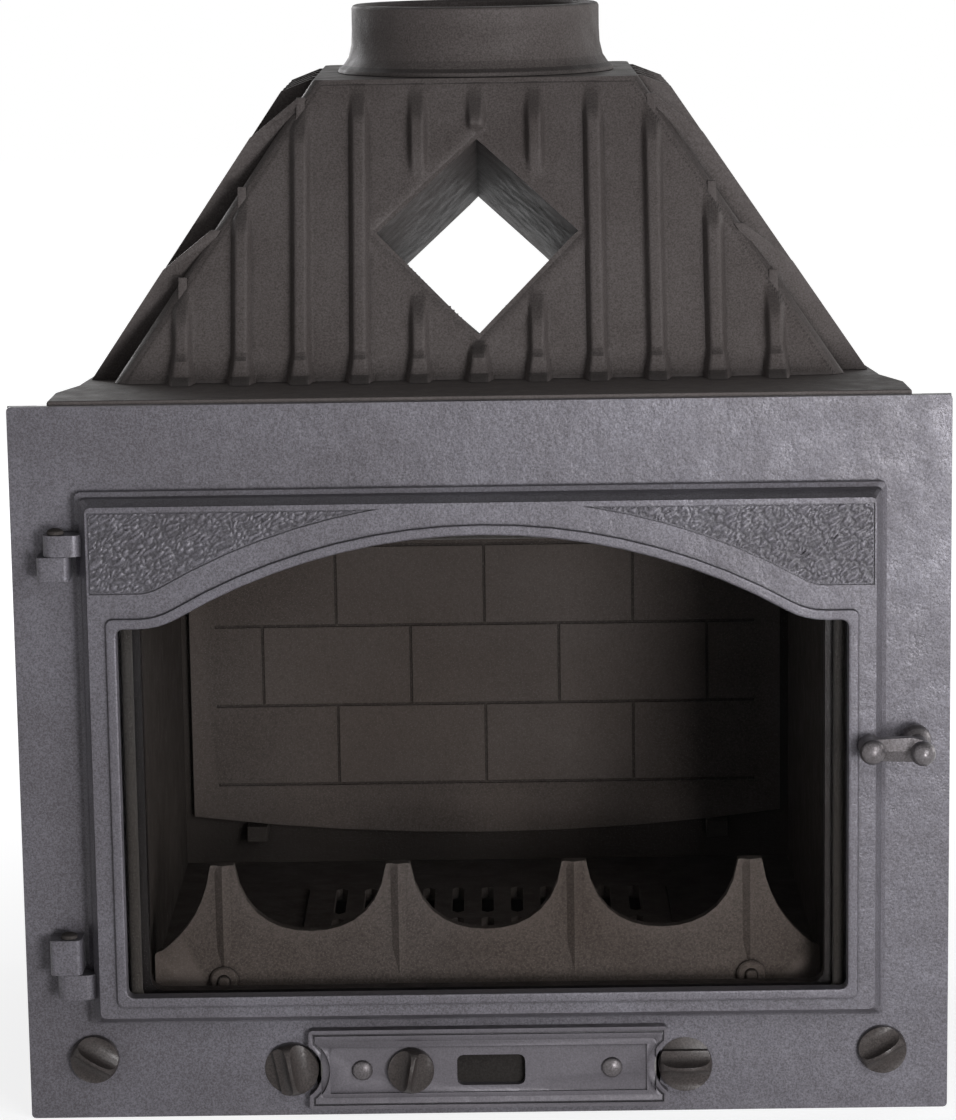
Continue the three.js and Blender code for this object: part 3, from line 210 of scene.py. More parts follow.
PLATE_LIGHT = (0.205, 0.197, 0.224, 1.0)
PLATE_DARK = (0.104, 0.097, 0.107, 1.0)
SPECK_SCALE = 720.0
SPECK_STOPS = (0.34, 0.66)
CLOUD_SCALE = 9.0
CLOUD_STOPS = (0.32, 0.66)
CLOUD_TINT = (0.72, 0.70, 0.69, 1.0)
CLOUD_SHARE = 0.85
PATCH_SCALE = 55.0
PATCH_DEPTH = 0.0022
PATCH_STRENGTH = 0.35
GLOSS_FROM = 0.35
GLOSS_TO = 0.65
GLOSSIER = 0.07
DULLER = 0.09
SAND_SCALE = 430.0
SAND_DEPTH = 0.0006
EDGE_FROM = 0.515
EDGE_TO = 0.60
# Painted shade in narrow corners and on faces that look up: reach, samples, fades and share of colour
# left.
CREVICE_REACH = 0.007
CREVICE_SAMPLES = 6
CREVICE_FROM = 0.30
CREVICE_TO = 0.85
CREVICE_SHADE_LEFT = 0.25
LEDGE_FROM = 0.45
LEDGE_TO = 0.80
LEDGE_SHADE_LEFT = 0.42
BAND_SOFT = 0.001
FACET_MERGE = 0.00002
FACET_ANGLE = 0.8
SMOOTH_MORE = 8.0
EDGE_ANGLE = 32.0
SHARP = 0.0
PLATE_EDGE = 0.0007
MOUTH_HALF = 0.2565
MOUTH_TOP = 0.440
MOUTH_BELOW = 0.0105
MOUTH_ABOVE = 0.001
MOUTH_LIFT = 0.0065
# Painted shade on the plate inside the door's outline, at the firebox mouth: its box and the share of
# colour left.
DOOR_SHADE_HALF = 0.2705
DOOR_SHADE_LOW = 0.090
DOOR_SHADE_HIGH = 0.452
DOOR_SHADE_LEFT = 0.10


def noise_pattern(nodes, links, scale, detail, rough=0.5):
    """An uneven value about one half, fixed to the piece."""
    place = nodes.new("ShaderNodeTexCoord")
    texture = nodes.new("ShaderNodeTexNoise")
    texture.inputs["Scale"].default_value = scale
    texture.inputs["Detail"].default_value = detail
    texture.inputs["Roughness"].default_value = rough
    links.new(place.outputs["Object"], texture.inputs["Vector"])
    return texture.outputs["Fac"]


def two_tones(nodes, links, value, stops, low_colour, high_colour):
    """One colour up to the first stop, the other beyond the second, and a fade between them."""
    tones = nodes.new("ShaderNodeValToRGB")
    tones.color_ramp.elements[0].position = stops[0]
    tones.color_ramp.elements[0].color = low_colour
    tones.color_ramp.elements[1].position = stops[1]
    tones.color_ramp.elements[1].color = high_colour
    links.new(value, tones.inputs["Fac"])
    return tones.outputs["Color"]


def bumped(nodes, links, height, strength, depth, under=None):
    """A normal tilted by a height pattern, and by another bump under it where one is given."""
    bump = nodes.new("ShaderNodeBump")
    bump.inputs["Strength"].default_value = strength
    bump.inputs["Distance"].default_value = depth
    links.new(height, bump.inputs["Height"])
    if under is not None:
        links.new(under, bump.inputs["Normal"])
    return bump.outputs["Normal"]


def darkened(nodes, links, colour, share, left):
    """The colour, with only the share 'left' of it where share is 1."""
    mix = nodes.new("ShaderNodeMix")
    mix.data_type = "RGBA"
    mix.blend_type = "MULTIPLY"
    mix.inputs["B"].default_value = (left, left, left, 1.0)
    links.new(share, mix.inputs["Factor"])
    links.new(colour, mix.inputs["A"])
    return mix.outputs["Result"]


def speckled(nodes, links, pale, dark):
    """Fine specks of the two colours, under slow changes of tone."""
    specks = noise_pattern(nodes, links, SPECK_SCALE, 2.0, 0.75)
    clouds = noise_pattern(nodes, links, CLOUD_SCALE, 4.0, 0.6)
    slow = nodes.new("ShaderNodeMix")
    slow.data_type = "RGBA"
    slow.blend_type = "MULTIPLY"
    slow.inputs["Factor"].default_value = CLOUD_SHARE
    links.new(two_tones(nodes, links, specks, SPECK_STOPS, dark, pale), slow.inputs["A"])
    links.new(two_tones(nodes, links, clouds, CLOUD_STOPS, CLOUD_TINT, WHITE), slow.inputs["B"])
    return slow.outputs["Result"]


def worn_on_edges(nodes, links, colour, pale, wear):
    """The colour, paler along raised edges."""
    worn = nodes.new("ShaderNodeMix")
    worn.data_type = "RGBA"
    worn.blend_type = "MIX"
    edge = nodes.new("ShaderNodeNewGeometry")
    share = faded(nodes, links, edge.outputs["Pointiness"], EDGE_FROM, EDGE_TO, 0.0, wear)
    links.new(share, worn.inputs["Factor"])
    links.new(colour, worn.inputs["A"])
    worn.inputs["B"].default_value = tuple(min(1.0, (1.0 + wear) * tone) for tone in pale[:3]) + (1.0,)
    return worn.outputs["Result"]


def painted_shade_in_corners(nodes, links, colour):
    """The colour with painted shade: darker in narrow corners and on faces that look up."""
    open_sky = nodes.new("ShaderNodeAmbientOcclusion")
    open_sky.samples = CREVICE_SAMPLES
    open_sky.only_local = True
    open_sky.inputs["Distance"].default_value = CREVICE_REACH
    # Painted shade: the colour is darkened where other surfaces lie close around a point.
    crevice_shade = faded(nodes, links, open_sky.outputs["AO"], CREVICE_FROM, CREVICE_TO, 1.0, 0.0)
    colour = darkened(nodes, links, colour, crevice_shade, CREVICE_SHADE_LEFT)
    surface = nodes.new("ShaderNodeNewGeometry")
    facing = nodes.new("ShaderNodeSeparateXYZ")
    links.new(surface.outputs["True Normal"], facing.inputs[0])
    # Painted shade: faces that look up are darkened, as if they got little light.
    ledge_shade = faded(nodes, links, facing.outputs["Z"], LEDGE_FROM, LEDGE_TO, 0.0, 1.0)
    return darkened(nodes, links, colour, ledge_shade, LEDGE_SHADE_LEFT)


def piece_axes(nodes, links):
    """The X, Y and Z of a point on the piece."""
    place = nodes.new("ShaderNodeTexCoord")
    axes = nodes.new("ShaderNodeSeparateXYZ")
    links.new(place.outputs["Object"], axes.inputs[0])
    return axes.outputs


def band_factor(nodes, links, value, low, high):
    """1 where the value lies between low and high, falling to 0 over two millimetres."""
    middle = nodes.new("ShaderNodeMath")
    middle.operation = "SUBTRACT"
    middle.inputs[1].default_value = (low + high) / 2
    links.new(value, middle.inputs[0])
    away = nodes.new("ShaderNodeMath")
    away.operation = "ABSOLUTE"
    links.new(middle.outputs[0], away.inputs[0])
    half = (high - low) / 2
    return faded(nodes, links, away.outputs[0], half - BAND_SOFT, half + BAND_SOFT, 1.0, 0.0)


def painted_iron(
    name, pale, dark, roughness=0.37, metal=0.16, grain=0.35, wear=0.45, sheen=0.25, door_shade_painted=False,
    hollow=None,
):
    """Stove paint on a sand-cast skin: specks, slow changes of tone, painted shade and a pitted surface.

    hollow gives the depth at which the painted shade is darkest, the depth at which there is none,
    and the share of the colour that is left at the darkest.
    """
    paint = bpy.data.materials.new(name)
    paint.use_nodes = True
    nodes, links = paint.node_tree.nodes, paint.node_tree.links
    shader = nodes["Principled BSDF"]
    shader.inputs["Metallic"].default_value = metal
    shader.inputs["Specular IOR Level"].default_value = sheen
    colour = speckled(nodes, links, pale, dark)
    colour = worn_on_edges(nodes, links, colour, pale, wear)
    colour = painted_shade_in_corners(nodes, links, colour)
    # Painted shade: inside the door's outline the plate lies in the firebox mouth, so its colour is
    # darkened there.
    if door_shade_painted:
        axes = piece_axes(nodes, links)
        across = band_factor(nodes, links, axes["X"], -DOOR_SHADE_HALF, DOOR_SHADE_HALF)
        upward = band_factor(nodes, links, axes["Z"], DOOR_SHADE_LOW, DOOR_SHADE_HIGH)
        inside = combined(nodes, links, "MULTIPLY", across, upward)
        colour = darkened(nodes, links, colour, inside, DOOR_SHADE_LEFT)
    # Painted shade in the hollows of a relief: the deeper the surface lies, the darker its colour.
    if hollow:
        deep, high, left = hollow
        sunk = faded(nodes, links, piece_axes(nodes, links)["Y"], deep, high, 1.0, 0.0)
        colour = darkened(nodes, links, colour, sunk, left)
    links.new(colour, shader.inputs["Base Color"])

    patches = noise_pattern(nodes, links, PATCH_SCALE, 5.0, 0.6)
    gloss = faded(nodes, links, patches, GLOSS_FROM, GLOSS_TO, roughness - GLOSSIER, roughness + DULLER)
    links.new(gloss, shader.inputs["Roughness"])
    grit = noise_pattern(nodes, links, SAND_SCALE, 3.0, 0.7)
    sand = bumped(nodes, links, grit, grain, SAND_DEPTH)
    skin = bumped(nodes, links, patches, PATCH_STRENGTH, PATCH_DEPTH, sand)
    links.new(skin, shader.inputs["Normal"])
    return paint


def select_only(made):
    bpy.ops.object.select_all(action="DESELECT")
    made.select_set(True)
    bpy.context.view_layer.objects.active = made


def round_edges_off(made, width, angle):
    """Bevels the edges sharper than the angle, on the active piece."""
    rounding = made.modifiers.new("rounded edge", "BEVEL")
    rounding.width = width
    rounding.segments = 2
    rounding.limit_method = "ANGLE"
    rounding.angle_limit = math.radians(angle)
    rounding.use_clamp_overlap = True
    bpy.ops.object.modifier_apply(modifier=rounding.name)


def finished_casting(piece, node, body, paint, edge, smooth=EDGE_ANGLE):
    """The node's casting with its facets merged, its edges rounded off and its curves smoothed."""
    made = bpy.data.objects.new(piece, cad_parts[node].data.copy())
    bpy.context.scene.collection.objects.link(made)
    made.data.materials.clear()
    select_only(made)
    bpy.ops.object.mode_set(mode="EDIT")
    bpy.ops.mesh.select_all(action="SELECT")
    bpy.ops.mesh.remove_doubles(threshold=FACET_MERGE)
    bpy.ops.mesh.dissolve_limited(angle_limit=math.radians(FACET_ANGLE))
    bpy.ops.object.mode_set(mode="OBJECT")
    if edge > SHARP:
        round_edges_off(made, edge, smooth)
    bpy.ops.object.shade_smooth_by_angle(angle=math.radians(smooth + SMOOTH_MORE))
    even = made.modifiers.new("even shading", "WEIGHTED_NORMAL")
    even.keep_sharp = True
    bpy.ops.object.modifier_apply(modifier=even.name)
    made.data.materials.append(paint)
    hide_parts(node)
    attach(made, body)
    return made


plate_paint = painted_iron("anthracite plate paint", PLATE_LIGHT, PLATE_DARK, wear=0.0)
# A copy of the plate paint with painted shade inside the door's outline.
plate_shade_paint = painted_iron(
    "plate paint with painted shade inside the door", PLATE_LIGHT, PLATE_DARK, wear=0.0, door_shade_painted=True
)
face_plate = finished_casting(
    "face_plate", "front_frame", "insert_body", plate_shade_paint, PLATE_EDGE
)
for vertex in face_plate.data.vertices:
    beside = abs(vertex.co.x) < MOUTH_HALF
    if beside and MOUTH_TOP - MOUTH_BELOW < vertex.co.z < MOUTH_TOP + MOUTH_ABOVE:
        vertex.co.z += MOUTH_LIFT


# ---------- smoke hood ----------
# The ribbed hood carries heat to the room; a square tunnel passes through it from front to back.
# It is one rough sand casting in matt paint, with the flange and the flue collar. Its colour
# is darker and browner than the plate's paint, as painted shade for a hood that leans back.

# The hood's darker, browner tones are painted shade on the plate's paint.
HOOD_SHADED_PALE = (0.122, 0.108, 0.104, 1.0)
HOOD_SHADED_DEEP = (0.066, 0.056, 0.053, 1.0)
HOOD_HALF = 0.280
HOOD_TOP_HALF = 0.127
HOOD_LOW = 0.5523
HOOD_HIGH = 0.7745
HOOD_FOOT = 0.552
HOOD_TOP = 0.776
HOOD_FRONT = -0.088
HOOD_TOP_FRONT = 0.008
HOOD_MARGIN = 0.0065
HOOD_EDGE = 0.0013
FLANGE_EDGE = 0.0015
COLLAR_EDGE = 0.0008
SMOOTH_ANGLE = 40.0
RIBS_ASIDE = 5
RIB_PITCH = 0.0455
RIB_CREST = 0.0034
RIB_ROOT = 0.0092
RIB_REACH = 0.014
RIB_RISE = 0.0100
RIB_END = 0.772
RIB_SETBACK = 0.006
RIB_FADE = 0.030
RIB_FADE_SHARE = 0.9
STEP_RISE = 0.0025
STEP_LOW = 0.569
STEP_HIGH = 0.574
FOOT_RISE = 0.0085
FOOT_HIGH = 0.5585
FOOT_SPREAD = 0.0028
TIP_GAP = 0.004
MIDDLE_TIP = 0.010
SIDE_TIP = 0.024
TUNNEL_TOP = 0.730
TUNNEL_SIDE = 0.6605
TUNNEL_BOTTOM = 0.585
TUNNEL_HALF = 0.078
SKIN_RISE = 0.0006
SKIN_BUMP = 0.00030
SKIN_BUMP_SCALE = 90.0
CORNER_FILLET = 0.0022
CORNER_FALL = 0.004
LIP_RISE = 0.0007
BORDER_SINK = 0.0012
LIP_COMES = (0.004, 0.008)
LIP_GOES = (0.010, 0.020)
RELIEF_AT_EDGE = (0.0, 0.0035)
RELIEF_AT_LIP = (0.0015, 0.0055)
SINK_AT_EDGE = (0.0, 0.0025)
SINK_AT_LIP = (0.0005, 0.0035)
RELIEF_ANGLE = 50.0
RELIEF_ACROSS = 0.0014
RELIEF_UP = 0.0028
RELIEF_BACK = 0.0035
CELL_BORDER = 0.001
CELL_LIP = 0.0012
SLAB_WIDER = 0.02
SLAB_HIGHER = 0.004
SLAB_GAP = 0.0001
SLAB_DEPTH = 0.05


def hood_share(z):
    return (z - HOOD_FOOT) / (HOOD_TOP - HOOD_FOOT)


def hood_face(z):
    return HOOD_FRONT + (HOOD_TOP_FRONT - HOOD_FRONT) * hood_share(z)


def hood_edge(z):
    return HOOD_HALF + (HOOD_TOP_HALF - HOOD_HALF) * hood_share(z)


def soft_step(low, high, value):
    share = min(1.0, max(0.0, (value - low) / (high - low)))
    return share * share * (3.0 - 2.0 * share)


def tunnel_distance(x, z):
    """How far a point lies outside the diamond, in metres; negative inside it."""
    rise = TUNNEL_TOP - TUNNEL_SIDE if z > TUNNEL_SIDE else TUNNEL_SIDE - TUNNEL_BOTTOM
    share = abs(x) / TUNNEL_HALF + abs(z - TUNNEL_SIDE) / rise - 1.0
    return share / math.hypot(1.0 / TUNNEL_HALF, 1.0 / rise)


def rib_height(index, z):
    """Height of a rib above the face: a foot on the flange, a step, a plain run and a faded top."""
    x = index * RIB_PITCH
    run = (HOOD_HALF - HOOD_TOP_HALF) / (HOOD_TOP - HOOD_FOOT)
    top = min(RIB_END, HOOD_FOOT + (HOOD_HALF - abs(x)) / run - RIB_SETBACK)
    if z > top:
        return 0.0
    height = RIB_RISE + STEP_RISE * (1.0 - soft_step(STEP_LOW, STEP_HIGH, z))
    height += FOOT_RISE * (1.0 - soft_step(HOOD_LOW, FOOT_HIGH, z))
    height *= 1.0 - RIB_FADE_SHARE * soft_step(top - RIB_FADE, top, z)
    if index == 0:
        gap = max(z - TUNNEL_TOP, TUNNEL_BOTTOM - z)
        height *= soft_step(TIP_GAP, TIP_GAP + MIDDLE_TIP, gap)
    elif abs(index) == 1:
        height *= soft_step(TIP_GAP, TIP_GAP + SIDE_TIP, tunnel_distance(x, z))
    return height


def face_height(x, z):
    """How far the cast skin stands off the hood's plain face; it dips in along its borders."""
    ribs = 0.0
    for index in range(-RIBS_ASIDE, RIBS_ASIDE + 1):
        away = abs(x - index * RIB_PITCH)
        if away > RIB_REACH:
            continue
        spread = FOOT_SPREAD * (1.0 - soft_step(HOOD_LOW, STEP_HIGH, z))
        fillet = 1.0 - soft_step(RIB_CREST + spread, RIB_ROOT + spread, away)
        ribs = max(ribs, rib_height(index, z) * fillet)
    place = Vector((x * SKIN_BUMP_SCALE, 5.0, z * SKIN_BUMP_SCALE))
    lip = tunnel_distance(x, z)
    skin = SKIN_RISE + CORNER_FILLET * math.exp(-(z - HOOD_LOW) / CORNER_FALL)
    skin += SKIN_BUMP * noise.fractal(place, 1.0, 2.0, 3)
    skin += LIP_RISE * soft_step(*LIP_COMES, lip) * (1.0 - soft_step(*LIP_GOES, lip))
    edge = min(hood_edge(z) - HOOD_MARGIN - abs(x), HOOD_HIGH - z)
    height = max(skin, ribs) * soft_step(*RELIEF_AT_EDGE, edge) * soft_step(*RELIEF_AT_LIP, lip)
    inner = min(soft_step(*SINK_AT_EDGE, edge), soft_step(*SINK_AT_LIP, lip))
    return height - BORDER_SINK * (1.0 - inner)


def shaped_by(name, points, faces):
    """A new piece with the given points and faces, selected alone."""
    mesh = bpy.data.meshes.new(name)
    mesh.from_pydata(points, [], faces)
    made = bpy.data.objects.new(name, mesh)
    bpy.context.scene.collection.objects.link(made)
    select_only(made)
    return made


def turn_faces_outwards():
    """Recalculates the normals of the active piece, which is selected alone."""
    bpy.ops.object.mode_set(mode="EDIT")
    bpy.ops.mesh.select_all(action="SELECT")
    bpy.ops.mesh.normals_make_consistent(inside=False)
    bpy.ops.object.mode_set(mode="OBJECT")


def cut_or_join(made, other, operation):
    """Boolean of two closed pieces; the second one is used up."""
    step = made.modifiers.new("solid step", "BOOLEAN")
    step.operation = operation
    step.solver = "EXACT"
    step.object = other
    select_only(made)
    bpy.ops.object.modifier_apply(modifier=step.name)
    bpy.data.objects.remove(other)


def rounded_edges(made, width, angle):
    select_only(made)
    round_edges_off(made, width, angle)
    bpy.ops.object.shade_smooth_by_angle(angle=math.radians(SMOOTH_ANGLE))


def space_before_the_face():
    """A leaning slab in front of the hood's face, which takes the plain ribs off it."""
    points = []
    for x in (-HOOD_HALF - SLAB_WIDER, HOOD_HALF + SLAB_WIDER):
        for out in (-SLAB_GAP, -SLAB_DEPTH):
            for z in (HOOD_LOW - SLAB_HIGHER, HOOD_HIGH + SLAB_HIGHER):
                points.append((x, hood_face(z) + out, z))
    faces = [(0, 1, 3, 2), (4, 6, 7, 5), (0, 4, 5, 1), (2, 3, 7, 6), (0, 2, 6, 4), (1, 5, 7, 3)]
    slab = shaped_by("space before the face", points, faces)
    turn_faces_outwards()
    return slab


def hood_relief():
    """The leaning face with its eleven filleted ribs, as one closed skin set into the hood."""
    columns = round(2 * HOOD_HALF / RELIEF_ACROSS)
    rows = round((HOOD_HIGH - HOOD_LOW) / RELIEF_UP)
    xs = [-HOOD_HALF + 2 * HOOD_HALF * i / columns for i in range(columns + 1)]
    zs = [HOOD_LOW + (HOOD_HIGH - HOOD_LOW) * j / rows for j in range(rows + 1)]
    cells = []
    for j in range(rows):
        for i in range(columns):
            x, z = (xs[i] + xs[i + 1]) / 2, (zs[j] + zs[j + 1]) / 2
            inside = hood_edge(z) - HOOD_MARGIN - abs(x) > -CELL_BORDER
            if inside and tunnel_distance(x, z) > CELL_LIP:
                cells.append(((i, j), (i + 1, j), (i + 1, j + 1), (i, j + 1)))
    points, numbers = [], {}
    for corner in [corner for cell in cells for corner in cell]:
        if corner not in numbers:
            x, z = xs[corner[0]], zs[corner[1]]
            numbers[corner] = len(points)
            points.append((x, hood_face(z) - face_height(x, z), z))
            points.append((x, hood_face(z) + RELIEF_BACK, z))
    faces, edges = [], {}
    for cell in cells:
        ring = [numbers[corner] for corner in cell]
        faces.append(tuple(ring))
        faces.append(tuple(n + 1 for n in reversed(ring)))
        for a, b in zip(ring, ring[1:] + ring[:1]):
            edges[(a, b)] = True
    for a, b in edges:
        if (b, a) not in edges:
            faces.append((b, a, a + 1, b + 1))
    face = shaped_by("hood_face_ribs", points, faces)
    bpy.ops.object.shade_smooth_by_angle(angle=math.radians(RELIEF_ANGLE))
    face.data.materials.append(hood_shade_paint)
    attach(face, "insert_body")


# Painted shade: the hood's paint is darker and browner than the plate's, as the hood leans back from the
# light.
hood_shade_paint = painted_iron(
    "hood colour with painted shade", HOOD_SHADED_PALE, HOOD_SHADED_DEEP, roughness=0.55, metal=0.05, grain=0.6, sheen=0.12
)
hood = finished_casting("ribbed_hood", "smoke_hood", "insert_body", hood_shade_paint, SHARP)
cut_or_join(hood, space_before_the_face(), "DIFFERENCE")
rounded_edges(hood, HOOD_EDGE, EDGE_ANGLE)
hood_relief()
finished_casting("hood_flange", "firebox_top", "insert_body", hood_shade_paint, FLANGE_EDGE)
finished_casting("collar_casting", "flue_collar", "insert_body", hood_shade_paint, COLLAR_EDGE)


# ---------- firebox ----------
# Plain iron plates joined behind the face plate, and the two liners that stand inside the side
# walls. They are hardly seen, so they carry only a thin matt black coat.

DARK_LIGHT = (0.072, 0.064, 0.060, 1.0)
DARK_DEEP = (0.034, 0.030, 0.028, 1.0)
WALL_EDGE = 0.0012

dark_paint = painted_iron(
    "matt black coat", DARK_LIGHT, DARK_DEEP, roughness=0.66, metal=0.0, grain=0.5, sheen=0.08
)
for piece, node in [
    ("base_casting", "firebox_base"),
    ("left_wall_casting", "firebox_left_wall"),
    ("right_wall_casting", "firebox_right_wall"),
    ("back_wall_casting", "firebox_back_wall"),
    ("left_liner_casting", "left_liner"),
    ("right_liner_casting", "right_liner"),
]:
    finished_casting(piece, node, "insert_body", dark_paint, WALL_EDGE)


# ---------- inside the firebox ----------
# Fireback, baffle, hearth, grate, and the log guard with its two brackets are loose castings that
# the fire touches, so their coat is burnt to a dull brown.

BURNT_LIGHT = (0.150, 0.132, 0.124, 1.0)
BURNT_DEEP = (0.078, 0.068, 0.064, 1.0)
HEARTH_EDGE = 0.0006
GUARD_EDGE = 0.0014

burnt_paint = painted_iron(
    "burnt coat", BURNT_LIGHT, BURNT_DEEP, roughness=0.62, metal=0.0, grain=0.4, sheen=0.10
)
for piece, node in [
    ("fireback_casting", "fireback"),
    ("baffle_casting", "smoke_baffle"),
    ("hearth_casting", "hearth_plate"),
    ("grate_casting", "fire_grate"),
    ("left_bracket_casting", "guard_bracket_left"),
    ("right_bracket_casting", "guard_bracket_right"),
]:
    finished_casting(piece, node, "insert_body", burnt_paint, HEARTH_EDGE)

finished_casting("guard_casting", "log_guard", "guard", burnt_paint, GUARD_EDGE)


# ---------- door ----------
# The door casting has a stepped rim, a bead round the glass and an arched top. It wears the same
# satin paint as the face plate. The keeper for its latch is fixed behind the plate.

DOOR_EDGE = 0.0007
KEEPER_EDGE = 0.0006

finished_casting("door_casting", "door_frame", "door", plate_paint, DOOR_EDGE)
finished_casting("keeper_casting", "latch_keeper", "insert_body", dark_paint, KEEPER_EDGE)


# ---------- spandrels ----------
# Between the arch and the door's top corners lie two fields cast with a leathery, beaten relief.
# A narrow groove runs round each field.

FIELD_LEFT = -0.2893
FIELD_RIGHT = -0.06
FIELD_TOP = 0.4718
FIELD_CORNER = 0.004
FIELD_BACK = -0.21105
FIELD_FRONT = -0.21205
FIELD_WALL = 0.004
SHEET_MARGIN = 0.002
OUTLINE_AHEAD = 0.003
ARCH_CENTRE_Z = -0.002
ARCH_FIELD_RADIUS = 0.4823
ARCH_LEAN = math.asin(0.225 / 0.455)
RETURN_X = 0.25467
RETURN_Z = 0.44564
RETURN_RADIUS = 0.0327
RELIEF_RISE = 0.00140
RELIEF_STEP = 0.0008
# Depths between which the relief's hollows are darkened as painted shade, and the share of colour left.
HOLLOW_SHADE_FULL = -0.2115
HOLLOW_SHADE_NONE = -0.2124
HOLLOW_SHADE_LEFT = 0.42
WRINKLE_ALONG = 0.55
WRINKLE_ACROSS = 1.25
WRINKLE_SCALE = 170.0
WRINKLE_SLOPE = 2.2
WRINKLE_SHARE = 0.8
WARP_SCALE = 90.0
FINE_SCALE = 420.0
FINE_SHARE = 0.25
RELIEF_SINK = 0.35
FIELD_ANGLE = 60.0


def arc_points(x, z, radius, start, end, steps):
    """Points along a round stretch in x and z, with both of its ends."""
    points = []
    for step in range(steps + 1):
        turn = start + (end - start) * step / steps
        points.append((x + radius * math.cos(turn), z + radius * math.sin(turn)))
    return points


def spandrel_outline():
    """Points round the left field in x and z, anticlockwise from its lower left corner."""
    quarter = math.pi / 2
    left = FIELD_LEFT + FIELD_CORNER
    low, high = RETURN_Z - RETURN_RADIUS + FIELD_CORNER, FIELD_TOP - FIELD_CORNER
    tip = math.acos((FIELD_TOP - ARCH_CENTRE_Z) / ARCH_FIELD_RADIUS)
    arch = arc_points(0.0, ARCH_CENTRE_Z, ARCH_FIELD_RADIUS, quarter + ARCH_LEAN, quarter + tip, 24)
    points = arc_points(left, low, FIELD_CORNER, 2 * quarter, 3 * quarter, 4)
    points += arc_points(-RETURN_X, RETURN_Z, RETURN_RADIUS, -quarter, ARCH_LEAN - quarter, 10)
    points += arch[1:]
    points += arc_points(left, high, FIELD_CORNER, quarter, 2 * quarter, 4)
    return points


def beaten_height(x, z):
    """Short wrinkles that run down to the right, with soft hollows between them."""
    warp = noise.noise(Vector((x * WARP_SCALE, 3.0, z * WARP_SCALE)))
    along = WRINKLE_ALONG * (x - z) * WRINKLE_SCALE + warp
    across = WRINKLE_ACROSS * (x + z) * WRINKLE_SCALE + warp
    gaps = noise.voronoi(Vector((along, 7.0, across)))[0]
    ridge = min(1.0, (gaps[1] - gaps[0]) * WRINKLE_SLOPE)
    fine = noise.fractal(Vector((x * FINE_SCALE, 1.0, z * FINE_SCALE)), 1.0, 2.0, 3)
    return WRINKLE_SHARE * ridge + FINE_SHARE * fine - RELIEF_SINK


def field_block():
    """A block with the field's outline, which trims the sheet."""
    outline = spandrel_outline()
    count = len(outline)
    front = [(x, FIELD_FRONT - OUTLINE_AHEAD, z) for x, z in outline]
    back = [(x, FIELD_BACK, z) for x, z in outline]
    faces = [tuple(range(count)), tuple(reversed(range(count, 2 * count)))]
    for i in range(count):
        j = (i + 1) % count
        faces.append((i, i + count, j + count, j))
    return shaped_by("field outline", front + back, faces)


def spandrel_field(piece, side):
    low = RETURN_Z - RETURN_RADIUS
    columns = int((FIELD_RIGHT - FIELD_LEFT) / RELIEF_STEP)
    rows = int((FIELD_TOP - low) / RELIEF_STEP)
    bpy.ops.object.select_all(action="DESELECT")
    bpy.ops.mesh.primitive_grid_add(x_subdivisions=columns, y_subdivisions=rows, size=1.0)
    sheet = bpy.context.view_layer.objects.active
    sheet.name = piece
    width, height = FIELD_RIGHT - FIELD_LEFT + 2 * SHEET_MARGIN, FIELD_TOP - low + 2 * SHEET_MARGIN
    middle_x, middle_z = FIELD_LEFT + width / 2 - SHEET_MARGIN, low + height / 2 - SHEET_MARGIN
    for vertex in sheet.data.vertices:
        x = middle_x + vertex.co.x * width
        z = middle_z + vertex.co.y * height
        rise = RELIEF_RISE * beaten_height(side * x, z)
        vertex.co = (x, FIELD_FRONT - rise, z)
    wall = sheet.modifiers.new("field thickness", "SOLIDIFY")
    wall.thickness = FIELD_WALL
    wall.offset = -1.0
    bpy.ops.object.modifier_apply(modifier=wall.name)
    cut_or_join(sheet, field_block(), "INTERSECT")
    if side > 0:
        for vertex in sheet.data.vertices:
            vertex.co.x = -vertex.co.x
    turn_faces_outwards()
    bpy.ops.object.shade_smooth_by_angle(angle=math.radians(FIELD_ANGLE))
    sheet.data.materials.clear()
    sheet.data.materials.append(field_paint)
    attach(sheet, "door")


# The spandrel paint darkens the relief's hollows as painted shade.
field_paint = painted_iron(
    "spandrel paint", PLATE_LIGHT, PLATE_DARK, hollow=(HOLLOW_SHADE_FULL, HOLLOW_SHADE_NONE, HOLLOW_SHADE_LEFT)
)
spandrel_field("spandrel_relief_left", -1)
spandrel_field("spandrel_relief_right", 1)


# ---------- door glass ----------
# A flat pane of clear ceramic glass in the back of the casting. A thin uneven film on it darkens
# the firebox a little, and it mirrors the room only weakly.

FILM_SCALE = 6.0
FILM_STOPS = (0.35, 0.70)
FILM_THIN = (0.95, 0.945, 0.94, 1.0)
FILM_THICK = (0.90, 0.88, 0.86, 1.0)
PANE_ROUGHNESS = 0.03
PANE_MIRROR = 1.06


def ceramic_glass():
    pane = bpy.data.materials.new("ceramic pane")
    pane.use_nodes = True
    nodes, links = pane.node_tree.nodes, pane.node_tree.links
    nodes.clear()
    output = nodes.new("ShaderNodeOutputMaterial")
    film = noise_pattern(nodes, links, FILM_SCALE, 5.0)
    clear = nodes.new("ShaderNodeBsdfTransparent")
    links.new(two_tones(nodes, links, film, FILM_STOPS, FILM_THIN, FILM_THICK), clear.inputs["Color"])
    mirror = nodes.new("ShaderNodeBsdfGlossy")
    mirror.inputs["Roughness"].default_value = PANE_ROUGHNESS
    share = nodes.new("ShaderNodeFresnel")
    share.inputs["IOR"].default_value = PANE_MIRROR
    mix = nodes.new("ShaderNodeMixShader")
    links.new(share.outputs["Fac"], mix.inputs["Fac"])
    links.new(clear.outputs[0], mix.inputs[1])
    links.new(mirror.outputs[0], mix.inputs[2])
    links.new(mix.outputs[0], output.inputs["Surface"])
    return pane


